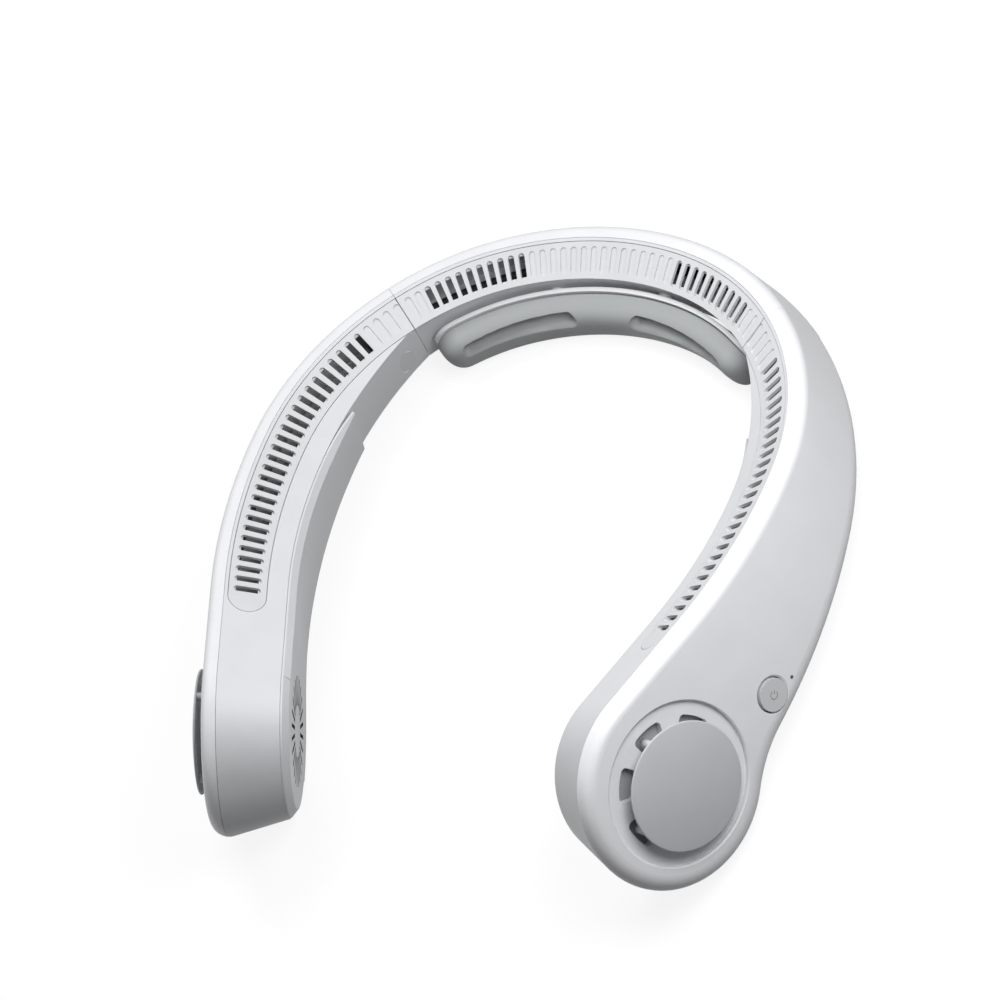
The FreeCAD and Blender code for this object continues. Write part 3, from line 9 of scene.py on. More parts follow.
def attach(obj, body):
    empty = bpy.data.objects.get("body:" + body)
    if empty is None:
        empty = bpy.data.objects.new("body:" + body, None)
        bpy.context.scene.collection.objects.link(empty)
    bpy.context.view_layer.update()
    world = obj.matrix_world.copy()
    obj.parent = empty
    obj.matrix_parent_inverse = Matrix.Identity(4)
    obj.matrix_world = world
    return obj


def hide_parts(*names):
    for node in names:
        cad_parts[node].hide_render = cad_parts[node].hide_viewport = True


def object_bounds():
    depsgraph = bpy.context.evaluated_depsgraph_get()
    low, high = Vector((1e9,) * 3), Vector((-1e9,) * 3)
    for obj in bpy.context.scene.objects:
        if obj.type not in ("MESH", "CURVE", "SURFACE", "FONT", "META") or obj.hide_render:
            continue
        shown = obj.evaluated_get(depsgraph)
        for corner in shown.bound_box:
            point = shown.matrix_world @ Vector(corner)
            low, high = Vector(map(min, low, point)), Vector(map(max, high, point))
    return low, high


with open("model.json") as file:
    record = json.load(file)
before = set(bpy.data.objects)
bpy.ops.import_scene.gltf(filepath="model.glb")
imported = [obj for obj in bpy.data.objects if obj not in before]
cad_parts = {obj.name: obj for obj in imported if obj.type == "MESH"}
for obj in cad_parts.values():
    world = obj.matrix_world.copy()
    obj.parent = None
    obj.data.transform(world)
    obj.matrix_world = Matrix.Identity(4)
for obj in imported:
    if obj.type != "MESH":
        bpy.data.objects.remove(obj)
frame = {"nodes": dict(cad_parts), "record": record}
cadLow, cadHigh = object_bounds()
nodes = frame["nodes"]
joints = {joint["name"]: joint for joint in frame["record"]["behaviour"]["joints"]}
scene = bpy.context.scene
mm = 0.001
sides = ("right", "left")
print("frame loaded:", len(nodes), "nodes")


# Finishes

# the middle band of a noise texture, where nearly all of its values lie
noiseLow, noiseHigh = 0.3, 0.7


def newFinish(name):
    finish = bpy.data.materials.new(name)
    finish.use_nodes = True
    tree = finish.node_tree
    return finish, tree, tree.nodes["Principled BSDF"]


def addNode(tree, kind, **settings):
    node = tree.nodes.new(kind)
    for key, value in settings.items():
        setattr(node, key, value)
    return node


def noiseAt(tree, scale, detail, roughness=0.55):
    where = addNode(tree, "ShaderNodeTexCoord")
    noise = addNode(tree, "ShaderNodeTexNoise")
    noise.inputs["Scale"].default_value = scale
    noise.inputs["Detail"].default_value = detail
    noise.inputs["Roughness"].default_value = roughness
    tree.links.new(where.outputs["Object"], noise.inputs["Vector"])
    return noise.outputs["Fac"]


def spread(tree, value, low, high):
    span = addNode(tree, "ShaderNodeMapRange")
    span.inputs["From Min"].default_value = noiseLow
    span.inputs["From Max"].default_value = noiseHigh
    span.inputs["To Min"].default_value = low
    span.inputs["To Max"].default_value = high
    tree.links.new(value, span.inputs["Value"])
    return span.outputs["Result"]


def tintFrom(tree, value, colours):
    ramp = addNode(tree, "ShaderNodeValToRGB")
    ramp.color_ramp.elements[0].position = noiseLow
    ramp.color_ramp.elements[1].position = noiseHigh
    for element, colour in zip(ramp.color_ramp.elements, colours):
        element.color = (*colour, 1.0)
    tree.links.new(value, ramp.inputs["Fac"])
    return ramp.outputs["Color"]


def grainBump(tree, heights, strength, distance, edge):
    bump = addNode(tree, "ShaderNodeBump")
    bump.inputs["Strength"].default_value = strength
    bump.inputs["Distance"].default_value = distance
    tree.links.new(heights, bump.inputs["Height"])
    if edge:
        rounding = addNode(tree, "ShaderNodeBevel", samples=4)
        rounding.inputs["Radius"].default_value = edge
        tree.links.new(rounding.outputs["Normal"], bump.inputs["Normal"])
    return bump.outputs["Normal"]


def mouldedFinish(name, look):
    finish, tree, shader = newFinish(name)
    cloud = noiseAt(tree, look["cloudScale"], look["cloudDetail"])
    grain = noiseAt(tree, look["grainScale"], look["grainDetail"])
    tree.links.new(tintFrom(tree, cloud, (look["darker"], look["colour"])), shader.inputs["Base Color"])
    tree.links.new(spread(tree, cloud, *look["roughness"]), shader.inputs["Roughness"])
    normal = grainBump(tree, grain, look["grainStrength"], look["grainDepth"], look["edge"])
    tree.links.new(normal, shader.inputs["Normal"])
    shader.inputs["Metallic"].default_value = look["metal"]
    shader.inputs["Coat Weight"].default_value = look["coat"]
    shader.inputs["Coat Roughness"].default_value = look["coatRoughness"]
    shader.inputs["Sheen Weight"].default_value = look["sheen"]
    return finish


# what most finishes share; edge is the radius that softens sharp corners, in metres
plainLook = {
    "cloudScale": 90.0, "cloudDetail": 3.0, "grainScale": 5200.0, "grainDetail": 2.0, "grainStrength": 0.12,
    "grainDepth": 0.00004, "edge": 0.0, "metal": 0.0, "coat": 0.0, "coatRoughness": 0.2, "sheen": 0.0,
}
looks = {
    "shell_white": {**plainLook, "colour": (0.82, 0.825, 0.85), "darker": (0.79, 0.795, 0.82),
                    "roughness": (0.42, 0.5), "coat": 0.05, "edge": 0.00012},
    "frame_white": {**plainLook, "colour": (0.69, 0.7, 0.72), "darker": (0.665, 0.675, 0.695),
                    "roughness": (0.42, 0.5), "edge": 0.00012},
    "strip_grey": {**plainLook, "colour": (0.66, 0.67, 0.685), "darker": (0.63, 0.64, 0.655),
                   "roughness": (0.45, 0.55), "edge": 0.0001},
    "cap_grey": {**plainLook, "colour": (0.55, 0.557, 0.58), "darker": (0.53, 0.537, 0.56),
                 "roughness": (0.4, 0.48), "edge": 0.0004},
    "button_grey": {**plainLook, "colour": (0.6, 0.61, 0.625), "darker": (0.58, 0.59, 0.605),
                    "roughness": (0.4, 0.48), "edge": 0.0004},
    "plate_white": {**plainLook, "colour": (0.82, 0.83, 0.84), "darker": (0.79, 0.8, 0.81),
                    "roughness": (0.36, 0.44), "edge": 0.0004},
    "pad_rubber": {**plainLook, "colour": (0.345, 0.36, 0.364), "darker": (0.325, 0.34, 0.344),
                   "roughness": (0.55, 0.68), "grainScale": 2600.0, "grainStrength": 0.25, "sheen": 0.15},
    "blower_grey": {**plainLook, "colour": (0.42, 0.425, 0.43), "darker": (0.38, 0.385, 0.39),
                    "roughness": (0.45, 0.6), "edge": 0.0002},
    "filter_grey": {**plainLook, "colour": (0.37, 0.374, 0.38), "darker": (0.34, 0.344, 0.35),
                    "roughness": (0.8, 0.9), "grainScale": 2600.0, "grainStrength": 0.25},
    "magnet_dark": {**plainLook, "colour": (0.06, 0.06, 0.065), "darker": (0.04, 0.04, 0.042),
                    "roughness": (0.5, 0.65), "metal": 0.6},
    "core_steel": {**plainLook, "colour": (0.38, 0.38, 0.39), "darker": (0.3, 0.3, 0.31),
                   "roughness": (0.35, 0.5), "metal": 1.0},
    "shaft_steel": {**plainLook, "colour": (0.58, 0.58, 0.59), "darker": (0.5, 0.5, 0.51),
                    "roughness": (0.2, 0.32), "metal": 1.0},
    "bearing_brass": {**plainLook, "colour": (0.6, 0.42, 0.18), "darker": (0.5, 0.34, 0.14),
                      "roughness": (0.28, 0.4), "metal": 1.0},
    "cell_wrap": {**plainLook, "colour": (0.34, 0.37, 0.4), "darker": (0.3, 0.33, 0.36),
                  "roughness": (0.25, 0.35)},
    "board_green": {**plainLook, "colour": (0.015, 0.09, 0.035), "darker": (0.012, 0.07, 0.028),
                    "roughness": (0.3, 0.42)},
    "switch_black": {**plainLook, "colour": (0.02, 0.02, 0.021), "darker": (0.015, 0.015, 0.016),
                     "roughness": (0.4, 0.55)},
    "lamp_clear": {**plainLook, "colour": (0.06, 0.062, 0.066), "darker": (0.04, 0.042, 0.045),
                   "roughness": (0.12, 0.2)},
    "screen_dark": {**plainLook, "colour": (0.03, 0.031, 0.033), "darker": (0.02, 0.021, 0.022),
                    "roughness": (0.5, 0.65)},
    "sign_grey": {**plainLook, "colour": (0.2, 0.205, 0.212), "darker": (0.18, 0.185, 0.19),
                  "roughness": (0.5, 0.6)},
    "wire_sleeve": {**plainLook, "colour": (0.03, 0.03, 0.032), "darker": (0.02, 0.02, 0.022),
                    "roughness": (0.45, 0.6)},
}
finishes = {name: mouldedFinish(name + "Finish", look) for name, look in looks.items()}
nodeSlots = {name: node.data.materials[0].name for name, node in nodes.items()}
for name, node in nodes.items():
    node.data.materials[0] = finishes[nodeSlots[name]]


# Painted shade in the vents of the inner covers: their walls, which lie near the blower's axis and along
# it, are coloured dark where shade falls inside

# the painted shade on the vent walls: its colour, and how near the axis and how steep to it a wall must be
# to get it
ventShadeLook = {"radius": 16.4 * mm, "steep": 0.4, "colour": (0.035, 0.036, 0.039)}


def blowerAxis(side):
    joint = joints["blower_spin_" + side]
    return Vector(joint["pos_m"]), Vector(joint["axis"]).normalized()


def paintVentShade(side, look):
    cover = nodes["inner_cover_" + side]
    slot = nodeSlots["inner_cover_" + side]
    finish = mouldedFinish("paintedVentShadeCover." + side, looks[slot])
    tree = finish.node_tree
    shader = tree.nodes["Principled BSDF"]
    hub, axis = blowerAxis(side)

    def vector(operation, value, constant):
        node = addNode(tree, "ShaderNodeVectorMath", operation=operation)
        tree.links.new(value, node.inputs[0])
        node.inputs[1].default_value = constant
        return node

    def below(value, limit):
        node = addNode(tree, "ShaderNodeMath", operation="LESS_THAN")
        tree.links.new(value, node.inputs[0])
        node.inputs[1].default_value = limit
        return node.outputs[0]

    where = addNode(tree, "ShaderNodeTexCoord").outputs["Object"]
    fromHub = vector("SUBTRACT", where, hub).outputs["Vector"]
    reach = addNode(tree, "ShaderNodeVectorMath", operation="LENGTH")
    tree.links.new(vector("CROSS_PRODUCT", fromHub, axis).outputs["Vector"], reach.inputs[0])
    facing = vector("DOT_PRODUCT", addNode(tree, "ShaderNodeNewGeometry").outputs["True Normal"], axis)
    steep = addNode(tree, "ShaderNodeMath", operation="ABSOLUTE")
    tree.links.new(facing.outputs["Value"], steep.inputs[0])
    both = addNode(tree, "ShaderNodeMath", operation="MULTIPLY")
    tree.links.new(below(reach.outputs["Value"], look["radius"]), both.inputs[0])
    tree.links.new(below(steep.outputs[0], look["steep"]), both.inputs[1])
    # painted shade: the masked vent walls take the dark colour in place of the moulded one
    shade = addNode(tree, "ShaderNodeMix", data_type="RGBA")
    plain, dark, mixed = shade.inputs[6], shade.inputs[7], shade.outputs[2]
    tree.links.new(both.outputs[0], shade.inputs[0])
    tree.links.new(shader.inputs["Base Color"].links[0].from_socket, plain)
    dark.default_value = (*look["colour"], 1.0)
    tree.links.new(mixed, shader.inputs["Base Color"])
    cover.data.materials[0] = finish


for side in sides:
    paintVentShade(side, ventShadeLook)
print("finishes:", len(finishes))


# Pieces

def meshPiece(name, corners, faces, slot, body, finish=None):
    mesh = bpy.data.meshes.new(name)
    mesh.from_pydata(corners, [], faces)
    bm = bmesh.new()
    bm.from_mesh(mesh)
    bmesh.ops.recalc_face_normals(bm, faces=bm.faces)
    bm.to_mesh(mesh)
    bm.free()
    piece = bpy.data.objects.new(name, mesh)
    scene.collection.objects.link(piece)
    mesh.materials.append(finish or finishes[slot])
    mesh.polygons.foreach_set("use_smooth", [True] * len(mesh.polygons))
    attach(piece, body)
    return piece


def applied(piece):
    bpy.context.view_layer.update()
    ready = piece.evaluated_get(bpy.context.evaluated_depsgraph_get())
    mesh = bpy.data.meshes.new_from_object(ready)
    piece.modifiers.clear()
    piece.data = mesh
    mesh.name = piece.name
    return piece


# Dark dust screen behind the vents of each inner cover, a honeycomb of thin wire

screenLook = {"radius": 16.8, "cell": 1.3, "wire": 0.22, "behind": 1.55, "wireSides": 4, "rimSides": 64,
              "finish": "screen_dark"}


def screenTree(look):
    tree = bpy.data.node_groups.new("dustScreen", "GeometryNodeTree")
    for label, value in (("Radius", look["radius"]), ("Cell", look["cell"]), ("Wire", look["wire"])):
        socket = tree.interface.new_socket(label, in_out="INPUT", socket_type="NodeSocketFloat")
        socket.default_value = value * mm
    tree.interface.new_socket("Geometry", in_out="OUTPUT", socket_type="NodeSocketGeometry")
    link = tree.links.new

    def add(kind, **settings):
        return addNode(tree, kind, **settings)

    def calc(operation, first, second):
        node = add("ShaderNodeMath", operation=operation)
        for slot, value in enumerate((first, second)):
            if isinstance(value, (int, float)):
                node.inputs[slot].default_value = value
            else:
                link(value, node.inputs[slot])
        return node.outputs[0]

    sizes = add("NodeGroupInput").outputs
    radius, cell, wire = sizes["Radius"], sizes["Cell"], sizes["Wire"]
    across = calc("MULTIPLY", radius, 2.0)
    rowStep = calc("MULTIPLY", cell, math.sqrt(3.0) / 2)
    columns = calc("CEIL", calc("DIVIDE", across, cell), 0.0)
    rows = calc("CEIL", calc("DIVIDE", across, rowStep), 0.0)
    grid = add("GeometryNodeMeshGrid")
    link(calc("MULTIPLY", calc("SUBTRACT", rows, 1.0), rowStep), grid.inputs["Size X"])
    link(calc("MULTIPLY", calc("SUBTRACT", columns, 1.0), cell), grid.inputs["Size Y"])
    link(rows, grid.inputs["Vertices X"])
    link(columns, grid.inputs["Vertices Y"])
    row = calc("FLOOR", calc("DIVIDE", add("GeometryNodeInputIndex").outputs[0], columns), 0.0)
    shift = add("ShaderNodeCombineXYZ")
    link(calc("MULTIPLY", calc("MODULO", row, 2.0), calc("MULTIPLY", cell, 0.5)), shift.inputs["Y"])
    stagger = add("GeometryNodeSetPosition")
    link(grid.outputs["Mesh"], stagger.inputs["Geometry"])
    link(shift.outputs["Vector"], stagger.inputs["Offset"])
    reach = add("ShaderNodeVectorMath", operation="LENGTH")
    link(add("GeometryNodeInputPosition").outputs[0], reach.inputs[0])
    trim = add("GeometryNodeDeleteGeometry", domain="POINT")
    link(stagger.outputs["Geometry"], trim.inputs["Geometry"])
    outside = calc("GREATER_THAN", reach.outputs["Value"], calc("SUBTRACT", radius, cell))
    link(outside, trim.inputs["Selection"])

    profile = add("GeometryNodeCurvePrimitiveCircle")
    profile.inputs["Resolution"].default_value = look["wireSides"]
    link(calc("MULTIPLY", wire, 0.5), profile.inputs["Radius"])

    def ring(size, sides):
        path = add("GeometryNodeCurvePrimitiveCircle")
        path.inputs["Resolution"].default_value = sides
        link(size, path.inputs["Radius"])
        tube = add("GeometryNodeCurveToMesh")
        link(path.outputs["Curve"], tube.inputs["Curve"])
        link(profile.outputs["Curve"], tube.inputs["Profile Curve"])
        return tube.outputs["Mesh"]

    hexagon = ring(calc("MULTIPLY", cell, 1.0 / math.sqrt(3.0)), 6)
    cells = add("GeometryNodeInstanceOnPoints")
    link(trim.outputs["Geometry"], cells.inputs["Points"])
    link(hexagon, cells.inputs["Instance"])
    whole = add("GeometryNodeJoinGeometry")
    link(cells.outputs["Instances"], whole.inputs["Geometry"])
    link(ring(radius, look["rimSides"]), whole.inputs["Geometry"])
    real = add("GeometryNodeRealizeInstances")
    link(whole.outputs["Geometry"], real.inputs["Geometry"])
    dress = add("GeometryNodeSetMaterial")
    dress.inputs["Material"].default_value = finishes[look["finish"]]
    link(real.outputs["Geometry"], dress.inputs["Geometry"])
    link(dress.outputs["Geometry"], add("NodeGroupOutput").inputs["Geometry"])
    return tree


def makeDustScreen(side, look, tree):
    hub, axis = blowerAxis(side)
    spots = [vertex.co - hub for vertex in nodes["inner_cover_" + side].data.vertices]
    low = min(spot.dot(axis) for spot in spots if spot.cross(axis).length < look["radius"] * mm)
    name = "dustScreen." + side
    screen = bpy.data.objects.new(name, bpy.data.meshes.new(name))
    scene.collection.objects.link(screen)
    weave = screen.modifiers.new("weave", "NODES")
    weave.node_group = tree
    for socket in tree.interface.items_tree:
        if socket.in_out == "INPUT":
            weave[socket.identifier] = look[socket.name.lower()] * mm
    applied(screen)
    turn = axis.to_track_quat("Z", "Y").to_matrix().to_4x4()
    screen.data.transform(Matrix.Translation(hub + axis * (low + look["behind"] * mm)) @ turn)
    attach(screen, "collar")


screenNodes = screenTree(screenLook)
for side in sides:
    makeDustScreen(side, screenLook, screenNodes)
print("dust screens woven")


# Foam filter ring behind the intake slots, held by the scroll ring

filterLook = {"inner": 12.4, "outer": 20.8, "thick": 0.6, "below": 0.05, "around": 96,
              "finish": "filter_grey"}


def ringAt(middle, axis, radius, steps):
    across = axis.orthogonal().normalized()
    beside = axis.cross(across)
    turns = [2 * math.pi * step / steps for step in range(steps)]
    return [middle + (across * math.cos(turn) + beside * math.sin(turn)) * radius for turn in turns]


def makeIntakeFilter(side, look):
    hub, axis = blowerAxis(side)
    seat = max((vertex.co - hub).dot(axis) for vertex in nodes["scroll_ring_" + side].data.vertices)
    high = seat - look["below"] * mm
    low = high - look["thick"] * mm
    inner, outer, around = look["inner"] * mm, look["outer"] * mm, look["around"]
    section = ((inner, low), (outer, low), (outer, high), (inner, high))
    corners, faces = [], []
    for number, (reach, level) in enumerate(section):
        corners += ringAt(hub + axis * level, axis, reach, around)
        first, second = number * around, (number + 1) % len(section) * around
        for step in range(around):
            after = (step + 1) % around
            faces.append((first + step, first + after, second + after, second + step))
    finish = finishes[look["finish"]]
    foam = meshPiece("intakeFilter." + side, corners, faces, "blower_grey", "collar", finish)
    foam.data.shade_flat()


for side in sides:
    makeIntakeFilter(side, filterLook)
print("intake filters cut")


# Intake caps: thin lens-shaped discs on four posts

capLook = {"radius": 18.0, "thick": 2.2, "edge": 0.7, "domeSteps": 24, "rimSteps": 8, "around": 128,
           "postRadius": 1.2, "postSteps": 24, "postRoot": 0.1, "footBand": 0.05}


def capProfile(look):
    # (distance from the axis, height above the back) from the middle of the back to the crown
    rim = look["edge"] / 2
    rimCentre = look["radius"] - rim
    crown = look["thick"] - look["edge"]
    points = [(0.0, 0.0)]
    for step in range(look["rimSteps"] + 1):
        turn = math.pi * (step / look["rimSteps"] - 0.5)
        points.append((rimCentre + rim * math.cos(turn), rim + rim * math.sin(turn)))
    for step in range(1, look["domeSteps"]):
        share = 1.0 - step / look["domeSteps"]
        points.append((rimCentre * share, look["edge"] + crown * (1.0 - share ** 2)))
    return points + [(0.0, look["thick"])]


def makeIntakeCap(side, look):
    hub, axis = blowerAxis(side)
    spots = [vertex.co - hub for vertex in nodes["intake_cap_" + side].data.vertices]
    back = max(spot.dot(axis) for spot in spots) - look["thick"] * mm
    foot = min(spot.dot(axis) for spot in spots)
    across = axis.orthogonal().normalized()
    beside = axis.cross(across)
    corners, faces = [], []

    def addTurned(middles, radii, steps):
        # first and last places are points on the axis, the others are rings
        first = len(corners)
        corners.append(middles[0])
        for middle, radius in zip(middles[1:-1], radii[1:-1]):
            corners.extend(ringAt(middle, axis, radius, steps))
        corners.append(middles[-1])
        end = len(corners) - 1
        for step in range(steps):
            after = (step + 1) % steps
            faces.append((first, first + 1 + after, first + 1 + step))
            for ring in range(len(middles) - 3):
                a = first + 1 + ring * steps
                faces.append((a + step, a + after, a + steps + after, a + steps + step))
            faces.append((end - steps + step, end - steps + after, end))

    profile = capProfile(look)
    addTurned([hub + axis * (back + height * mm) for reach, height in profile],
              [reach * mm for reach, height in profile], look["around"])
    # the posts stand where the solid cap has its feet, one post at a time
    radius = look["postRadius"] * mm
    feet = [spot for spot in spots if spot.dot(axis) < foot + look["footBand"] * mm]
    while feet:
        post = [spot for spot in feet if (spot - feet[0]).length < 2.5 * radius]
        feet = [spot for spot in feet if spot not in post]
        flat = [(spot.dot(across), spot.dot(beside)) for spot in post]
        x, y = [(min(values) + max(values)) / 2 for values in zip(*flat)]
        low, high = [hub + across * x + beside * y + axis * level
                     for level in (foot, back + look["postRoot"] * mm)]
        addTurned([low, low, high, high], [0.0, radius, radius, 0.0], look["postSteps"])
    cap = meshPiece("intakeCapLens." + side, corners, faces, "cap_grey", "collar")
    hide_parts("intake_cap_" + side)


for side in sides:
    makeIntakeCap(side, capLook)
print("intake caps turned")


# Soft neck pad, moulded in one piece with two long hollows

padLook = {
    "turn": 44.4, "endTurn": 6.2, "steps": 340, "around": 150, "crowding": 0.3, "crowdReach": 0.98,
    "back": -14.25, "thick": 9.6, "thin": 0.8, "middle": 15.0, "half": 7.4, "droop": 1.6,
    "sideShare": 0.42, "fullness": 2.6, "crownSteps": 60, "tuck": 1.6, "tuckRise": 0.55,
    "footCurve": ((0.5, 0.55), (1.0, 0.12)), "endLimit": 0.998, "endTall": 2.0, "endThick": 2.6,
    "hollowFrom": 7.2, "hollowTo": 38.6, "hollowMiddle": 9.75, "hollowFall": 2.2, "hollowHalf": 1.75,
    "hollowDepth": 4.6, "hollowEdge": 0.28, "hollowReach": 61.2, "faceFrom": 0.5, "faceBlend": 0.15,
    "fill": 0.7,
}
# the collar's line in millimetres and its lie in the frame, as in the part's source
collarLine = {
    "margin": 2.3, "crease": 1.4937, "lean": math.radians(18.6),
    "backRadius": 91.0, "backTurn": 19.2, "sideRadius": 75.2,
    "pitch": math.radians(12.3029), "set": (0.0, 91.93425, 23.25025),
}


def onCollar(turn, level, depth):
    line = collarLine
    lean, pitch = line["lean"], line["pitch"]
    outward = line["margin"] + level * np.cos(lean) + depth * np.sin(lean)
    height = line["crease"] + level * np.sin(lean) - depth * np.cos(lean)
    bend = math.radians(line["backTurn"])
    step = line["backRadius"] - line["sideRadius"]
    onSide = np.abs(turn) > line["backTurn"]
    middleX = np.where(onSide, step * math.sin(bend), 0.0)
    middleY = np.where(onSide, step * math.cos(bend), 0.0) - line["backRadius"]
    reach = np.where(onSide, line["sideRadius"], line["backRadius"]) + outward
    angle = np.radians(np.abs(turn))
    x = np.sign(turn) * (middleX + reach * np.sin(angle))
    y = middleY + reach * np.cos(angle)
    shift = line["set"]
    return np.stack((
        x + shift[0],
        y * math.cos(pitch) + height * math.sin(pitch) + shift[1],
        -y * math.sin(pitch) + height * math.cos(pitch) + shift[2],
    ), axis=-1) * mm


def padOutline(look):
    # half outline from the back to the crown as (share of thickness, share of half height)
    turn = np.linspace(0.0, math.pi / 2, look["crownSteps"])
    power = 2.0 / look["fullness"]
    front = np.stack((
        look["sideShare"] + (1.0 - look["sideShare"]) * np.sin(turn) ** power, np.cos(turn) ** power
    ), axis=-1)
    tuck = look["tuck"] / look["half"]
    rise = look["tuckRise"] / look["thick"]
    curve = [(rise * out, 1.0 - tuck * back) for out, back in look["footCurve"]]
    foot = np.array([(0.0, 0.0), (0.0, 1.0 - tuck), *curve])
    half = np.concatenate((foot, front))
    whole = np.concatenate((half, half[::-1][1:-1] * (1.0, -1.0)))
    sizes = whole * (look["thick"], look["half"])
    closed = np.concatenate((sizes, sizes[:1]))
    along = np.concatenate(((0.0,), np.cumsum(np.linalg.norm(np.diff(closed, axis=0), axis=1))))
    even = np.linspace(0.0, along[-1], look["around"], endpoint=False)
    return np.stack([np.interp(even, along, closed[:, side]) for side in (0, 1)], axis=-1)


def makeNeckPad(look):
    outline = padOutline(look)
    # the rings stand closer together towards both ends
    lengthwise = np.sin(np.linspace(-math.pi / 2, math.pi / 2, look["steps"]) * look["crowdReach"])
    spacing = np.linspace(-1.0, 1.0, look["steps"])
    crowding = look["crowding"]
    turn = look["turn"] * ((1.0 - crowding) * spacing + crowding * lengthwise / lengthwise[-1])
    outwards = (turn / look["turn"]) ** 2
    ease = np.clip((np.abs(turn) - look["turn"] + look["endTurn"]) / look["endTurn"], 0.0, look["endLimit"])
    tall = (1.0 - ease ** look["endTall"]) ** (1 / look["endTall"])
    slender = (look["thick"] - look["thin"] * outwards) / look["thick"]
    thick = slender * (1.0 - ease ** look["endThick"]) ** (1 / look["endThick"])
    depth = look["middle"] + outline[None, :, 1] * tall[:, None] + look["droop"] * outwards[:, None]
    proud = outline[None, :, 0] * thick[:, None]
    # the two hollows: how far each point lies outside a hollow's rounded outline
    reach = look["hollowReach"] * math.pi / 180
    hollowAt = (look["hollowFrom"] + look["hollowTo"]) / 2
    hollowRun = (look["hollowTo"] - look["hollowFrom"]) / 2 * reach - look["hollowHalf"]
    past = np.maximum(0.0, np.abs(np.abs(turn[:, None]) - hollowAt) * reach - hollowRun)
    hollowLine = look["hollowMiddle"] + look["hollowFall"] * (turn[:, None] / look["hollowTo"]) ** 2
    away = np.hypot(past, depth - hollowLine) - look["hollowHalf"]
    sunk = np.clip(0.5 - away / (2 * look["hollowEdge"]), 0.0, 1.0)
    onFace = np.clip((proud / look["thick"] - look["faceFrom"]) / look["faceBlend"], 0.0, 1.0)
    sunk = sunk * sunk * (3.0 - 2.0 * sunk) * onFace
    level = look["back"] - proud + look["hollowDepth"] * sunk
    points = onCollar(np.broadcast_to(turn[:, None], level.shape), level, depth)
    rings, around = points.shape[:2]
    corners = [tuple(point) for point in points.reshape(-1, 3)]
    corners += [tuple(points[0].mean(axis=0)), tuple(points[-1].mean(axis=0))]
    faces = []
    for ring in range(rings - 1):
        for spot in range(around):
            after = (spot + 1) % around
            faces.append((ring * around + spot, ring * around + after,
                          (ring + 1) * around + after, (ring + 1) * around + spot))
    last = (rings - 1) * around
    for spot in range(around):
        after = (spot + 1) % around
        faces += [(after, spot, rings * around), (last + spot, last + after, rings * around + 1)]
    pad = meshPiece("neckPadCushion", corners, faces, "pad_rubber", "collar")
    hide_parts("neck_pad")


makeNeckPad(padLook)
print("neck pad formed")


# Power sign on the button

signLook = {"ring": 1.15, "stroke": 0.2, "gap": 74.0, "bar": 1.0, "barFrom": 0.35, "steps": 40,
            "proud": 0.03, "sunk": 0.1, "faceBand": 0.02, "up": (0.025, 0.882, 0.46)}


def makePowerSign(look):
    outward = -Vector(joints["power_button_press"]["axis"]).normalized()
    spots = [vertex.co for vertex in nodes["power_button"].data.vertices]
    top = max(spot.dot(outward) for spot in spots)
    face = [spot for spot in spots if spot.dot(outward) > top - look["faceBand"] * mm]
    low = Vector([min(spot[axis] for spot in face) for axis in range(3)])
    high = Vector([max(spot[axis] for spot in face) for axis in range(3)])
    middle = (low + high) / 2
    middle += outward * (top - middle.dot(outward))
    up = Vector(look["up"])
    up = (up - outward * up.dot(outward)).normalized()
    side = up.cross(outward)

    def place(x, y, z):
        return tuple(middle + (side * x + up * y + outward * z) * mm)

    corners, faces = [], []

    def addBand(path):
        first = len(corners)
        for inner, outer in path:
            for z in (-look["sunk"], look["proud"]):
                corners.append(place(*inner, z))
                corners.append(place(*outer, z))
        for step in range(len(path) - 1):
            a, b = first + 4 * step, first + 4 * step + 4
            faces.extend([(a, a + 1, b + 1, b), (a + 2, b + 2, b + 3, a + 3),
                          (a, b, b + 2, a + 2), (a + 1, a + 3, b + 3, b + 1)])
        end = first + 4 * (len(path) - 1)
        faces.extend([(first, first + 2, first + 3, first + 1), (end, end + 1, end + 3, end + 2)])

    half = look["stroke"] / 2
    ring = []
    for step in range(look["steps"] + 1):
        turn = math.radians(look["gap"] / 2 + (360.0 - look["gap"]) * step / look["steps"])
        ring.append([(reach * math.sin(turn), reach * math.cos(turn))
                     for reach in (look["ring"] - half, look["ring"] + half)])
    addBand(ring)
    addBand([[(-half, y), (half, y)] for y in (look["barFrom"], look["barFrom"] + look["bar"])])
    meshPiece("powerSign", corners, faces, "button_grey", "power_button", finishes["sign_grey"])


makePowerSign(signLook)
print("power sign printed")


# Studio

studio = {
    "floorSize": 12.0, "floorGap": 0.0005, "floorRoughness": 0.9, "floorColour": (0.06, 0.061, 0.062),
    "paperColour": (0.2, 0.2, 0.2), "paperGlow": 0.86, "skyLevel": 0.08, "skyWhite": 1.0,
    "lens": 162.0, "sensor": 36.0, "clip": (0.01, 50.0),
    "eye": (0.6367, -0.4218815, 1.0523679),
    "eyeRight": (0.8626, 0.264936, -0.431052), "eyeUp": (-0.0672, 0.904453, 0.421356),
    "eyeBack": (0.5014, -0.334445, 0.797989),
}
lamps = {
    "keyLamp": {"at": (0.225, 0.03, 0.3), "size": 0.2, "power": 0.98},
    "topLamp": {"at": (-0.12, 0.22, 0.5), "size": 0.3, "power": 1.6},
    "sideLamp": {"at": (-0.5, -0.2, 0.35), "size": 0.4, "power": 0.6},
}


def directSight(tree):
    # rays that see the backdrop: straight from the camera, mirrored or through something clear
    path = addNode(tree, "ShaderNodeLightPath")
    sight = path.outputs["Is Camera Ray"]
    for ray in ("Is Glossy Ray", "Is Transmission Ray"):
        either = addNode(tree, "ShaderNodeMath", operation="MAXIMUM")
        tree.links.new(sight, either.inputs[0])
        tree.links.new(path.outputs[ray], either.inputs[1])
        sight = either.outputs[0]
    return sight


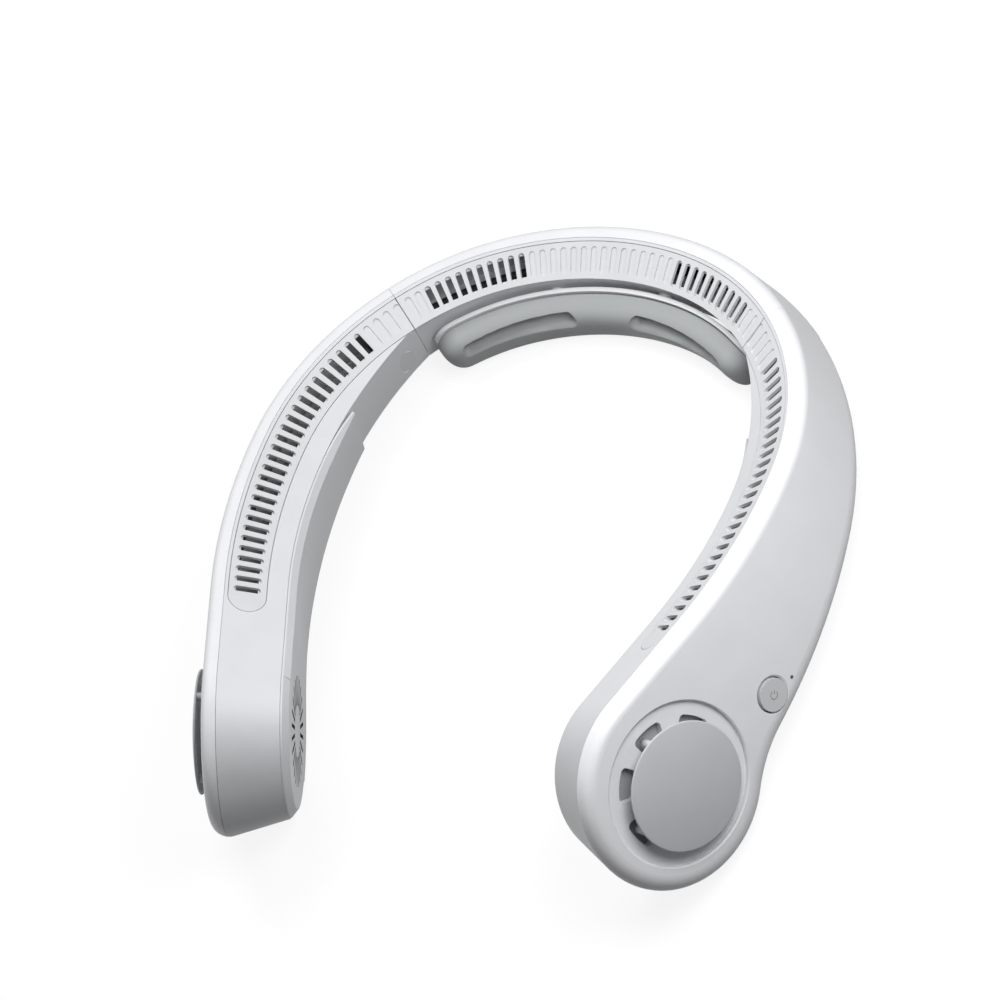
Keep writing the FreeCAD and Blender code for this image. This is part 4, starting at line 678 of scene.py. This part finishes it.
def makeStudio():
    mesh = bpy.data.meshes.new("studioFloor")
    half = studio["floorSize"] / 2
    corners = [(-half, -half, 0), (half, -half, 0), (half, half, 0), (-half, half, 0)]
    mesh.from_pydata(corners, [], [(0, 1, 2, 3)])
    floor = bpy.data.objects.new("studioFloor", mesh)
    scene.collection.objects.link(floor)
    floor.location.z = cadLow.z - studio["floorGap"]
    finish, tree, shader = newFinish("floorPaper")
    shader.inputs["Base Color"].default_value = (*studio["floorColour"], 1.0)
    shader.inputs["Roughness"].default_value = studio["floorRoughness"]
    paper = addNode(tree, "ShaderNodeBsdfDiffuse")
    paper.inputs["Color"].default_value = (*studio["paperColour"], 1.0)
    glow = addNode(tree, "ShaderNodeEmission")
    glow.inputs["Strength"].default_value = studio["paperGlow"]
    white = addNode(tree, "ShaderNodeAddShader")
    tree.links.new(paper.outputs[0], white.inputs[0])
    tree.links.new(glow.outputs[0], white.inputs[1])
    choice = addNode(tree, "ShaderNodeMixShader")
    tree.links.new(directSight(tree), choice.inputs["Fac"])
    tree.links.new(shader.outputs[0], choice.inputs[1])
    tree.links.new(white.outputs[0], choice.inputs[2])
    tree.links.new(choice.outputs[0], tree.nodes["Material Output"].inputs["Surface"])
    floor.data.materials.append(finish)

    world = bpy.data.worlds.new("studioSky")
    world.use_nodes = True
    scene.world = world
    tree = world.node_tree
    sky = tree.nodes["Background"]
    sky.inputs["Color"].default_value = (1.0, 1.0, 1.0, 1.0)
    level = addNode(tree, "ShaderNodeMapRange")
    level.inputs["To Min"].default_value = studio["skyLevel"]
    level.inputs["To Max"].default_value = studio["skyWhite"]
    tree.links.new(directSight(tree), level.inputs["Value"])
    tree.links.new(level.outputs["Result"], sky.inputs["Strength"])

    middle = (cadLow + cadHigh) / 2
    for name, lamp in lamps.items():
        light = bpy.data.lights.new(name, "AREA")
        light.size, light.energy = lamp["size"], lamp["power"]
        holder = bpy.data.objects.new(name, light)
        holder.location = lamp["at"]
        holder.visible_camera = False
        holder.rotation_mode = "QUATERNION"
        holder.rotation_quaternion = (middle - Vector(lamp["at"])).to_track_quat("-Z", "Y")
        scene.collection.objects.link(holder)

    camera = bpy.data.objects.new("photoCamera", bpy.data.cameras.new("photoCamera"))
    camera.data.lens, camera.data.sensor_width = studio["lens"], studio["sensor"]
    camera.data.clip_start, camera.data.clip_end = studio["clip"]
    turn = Matrix((studio["eyeRight"], studio["eyeUp"], studio["eyeBack"])).transposed().to_4x4()
    camera.matrix_world = Matrix.Translation(studio["eye"]) @ turn
    scene.collection.objects.link(camera)
    scene.camera = camera
    scene.view_settings.view_transform = "Standard"


makeStudio()
print("studio ready")
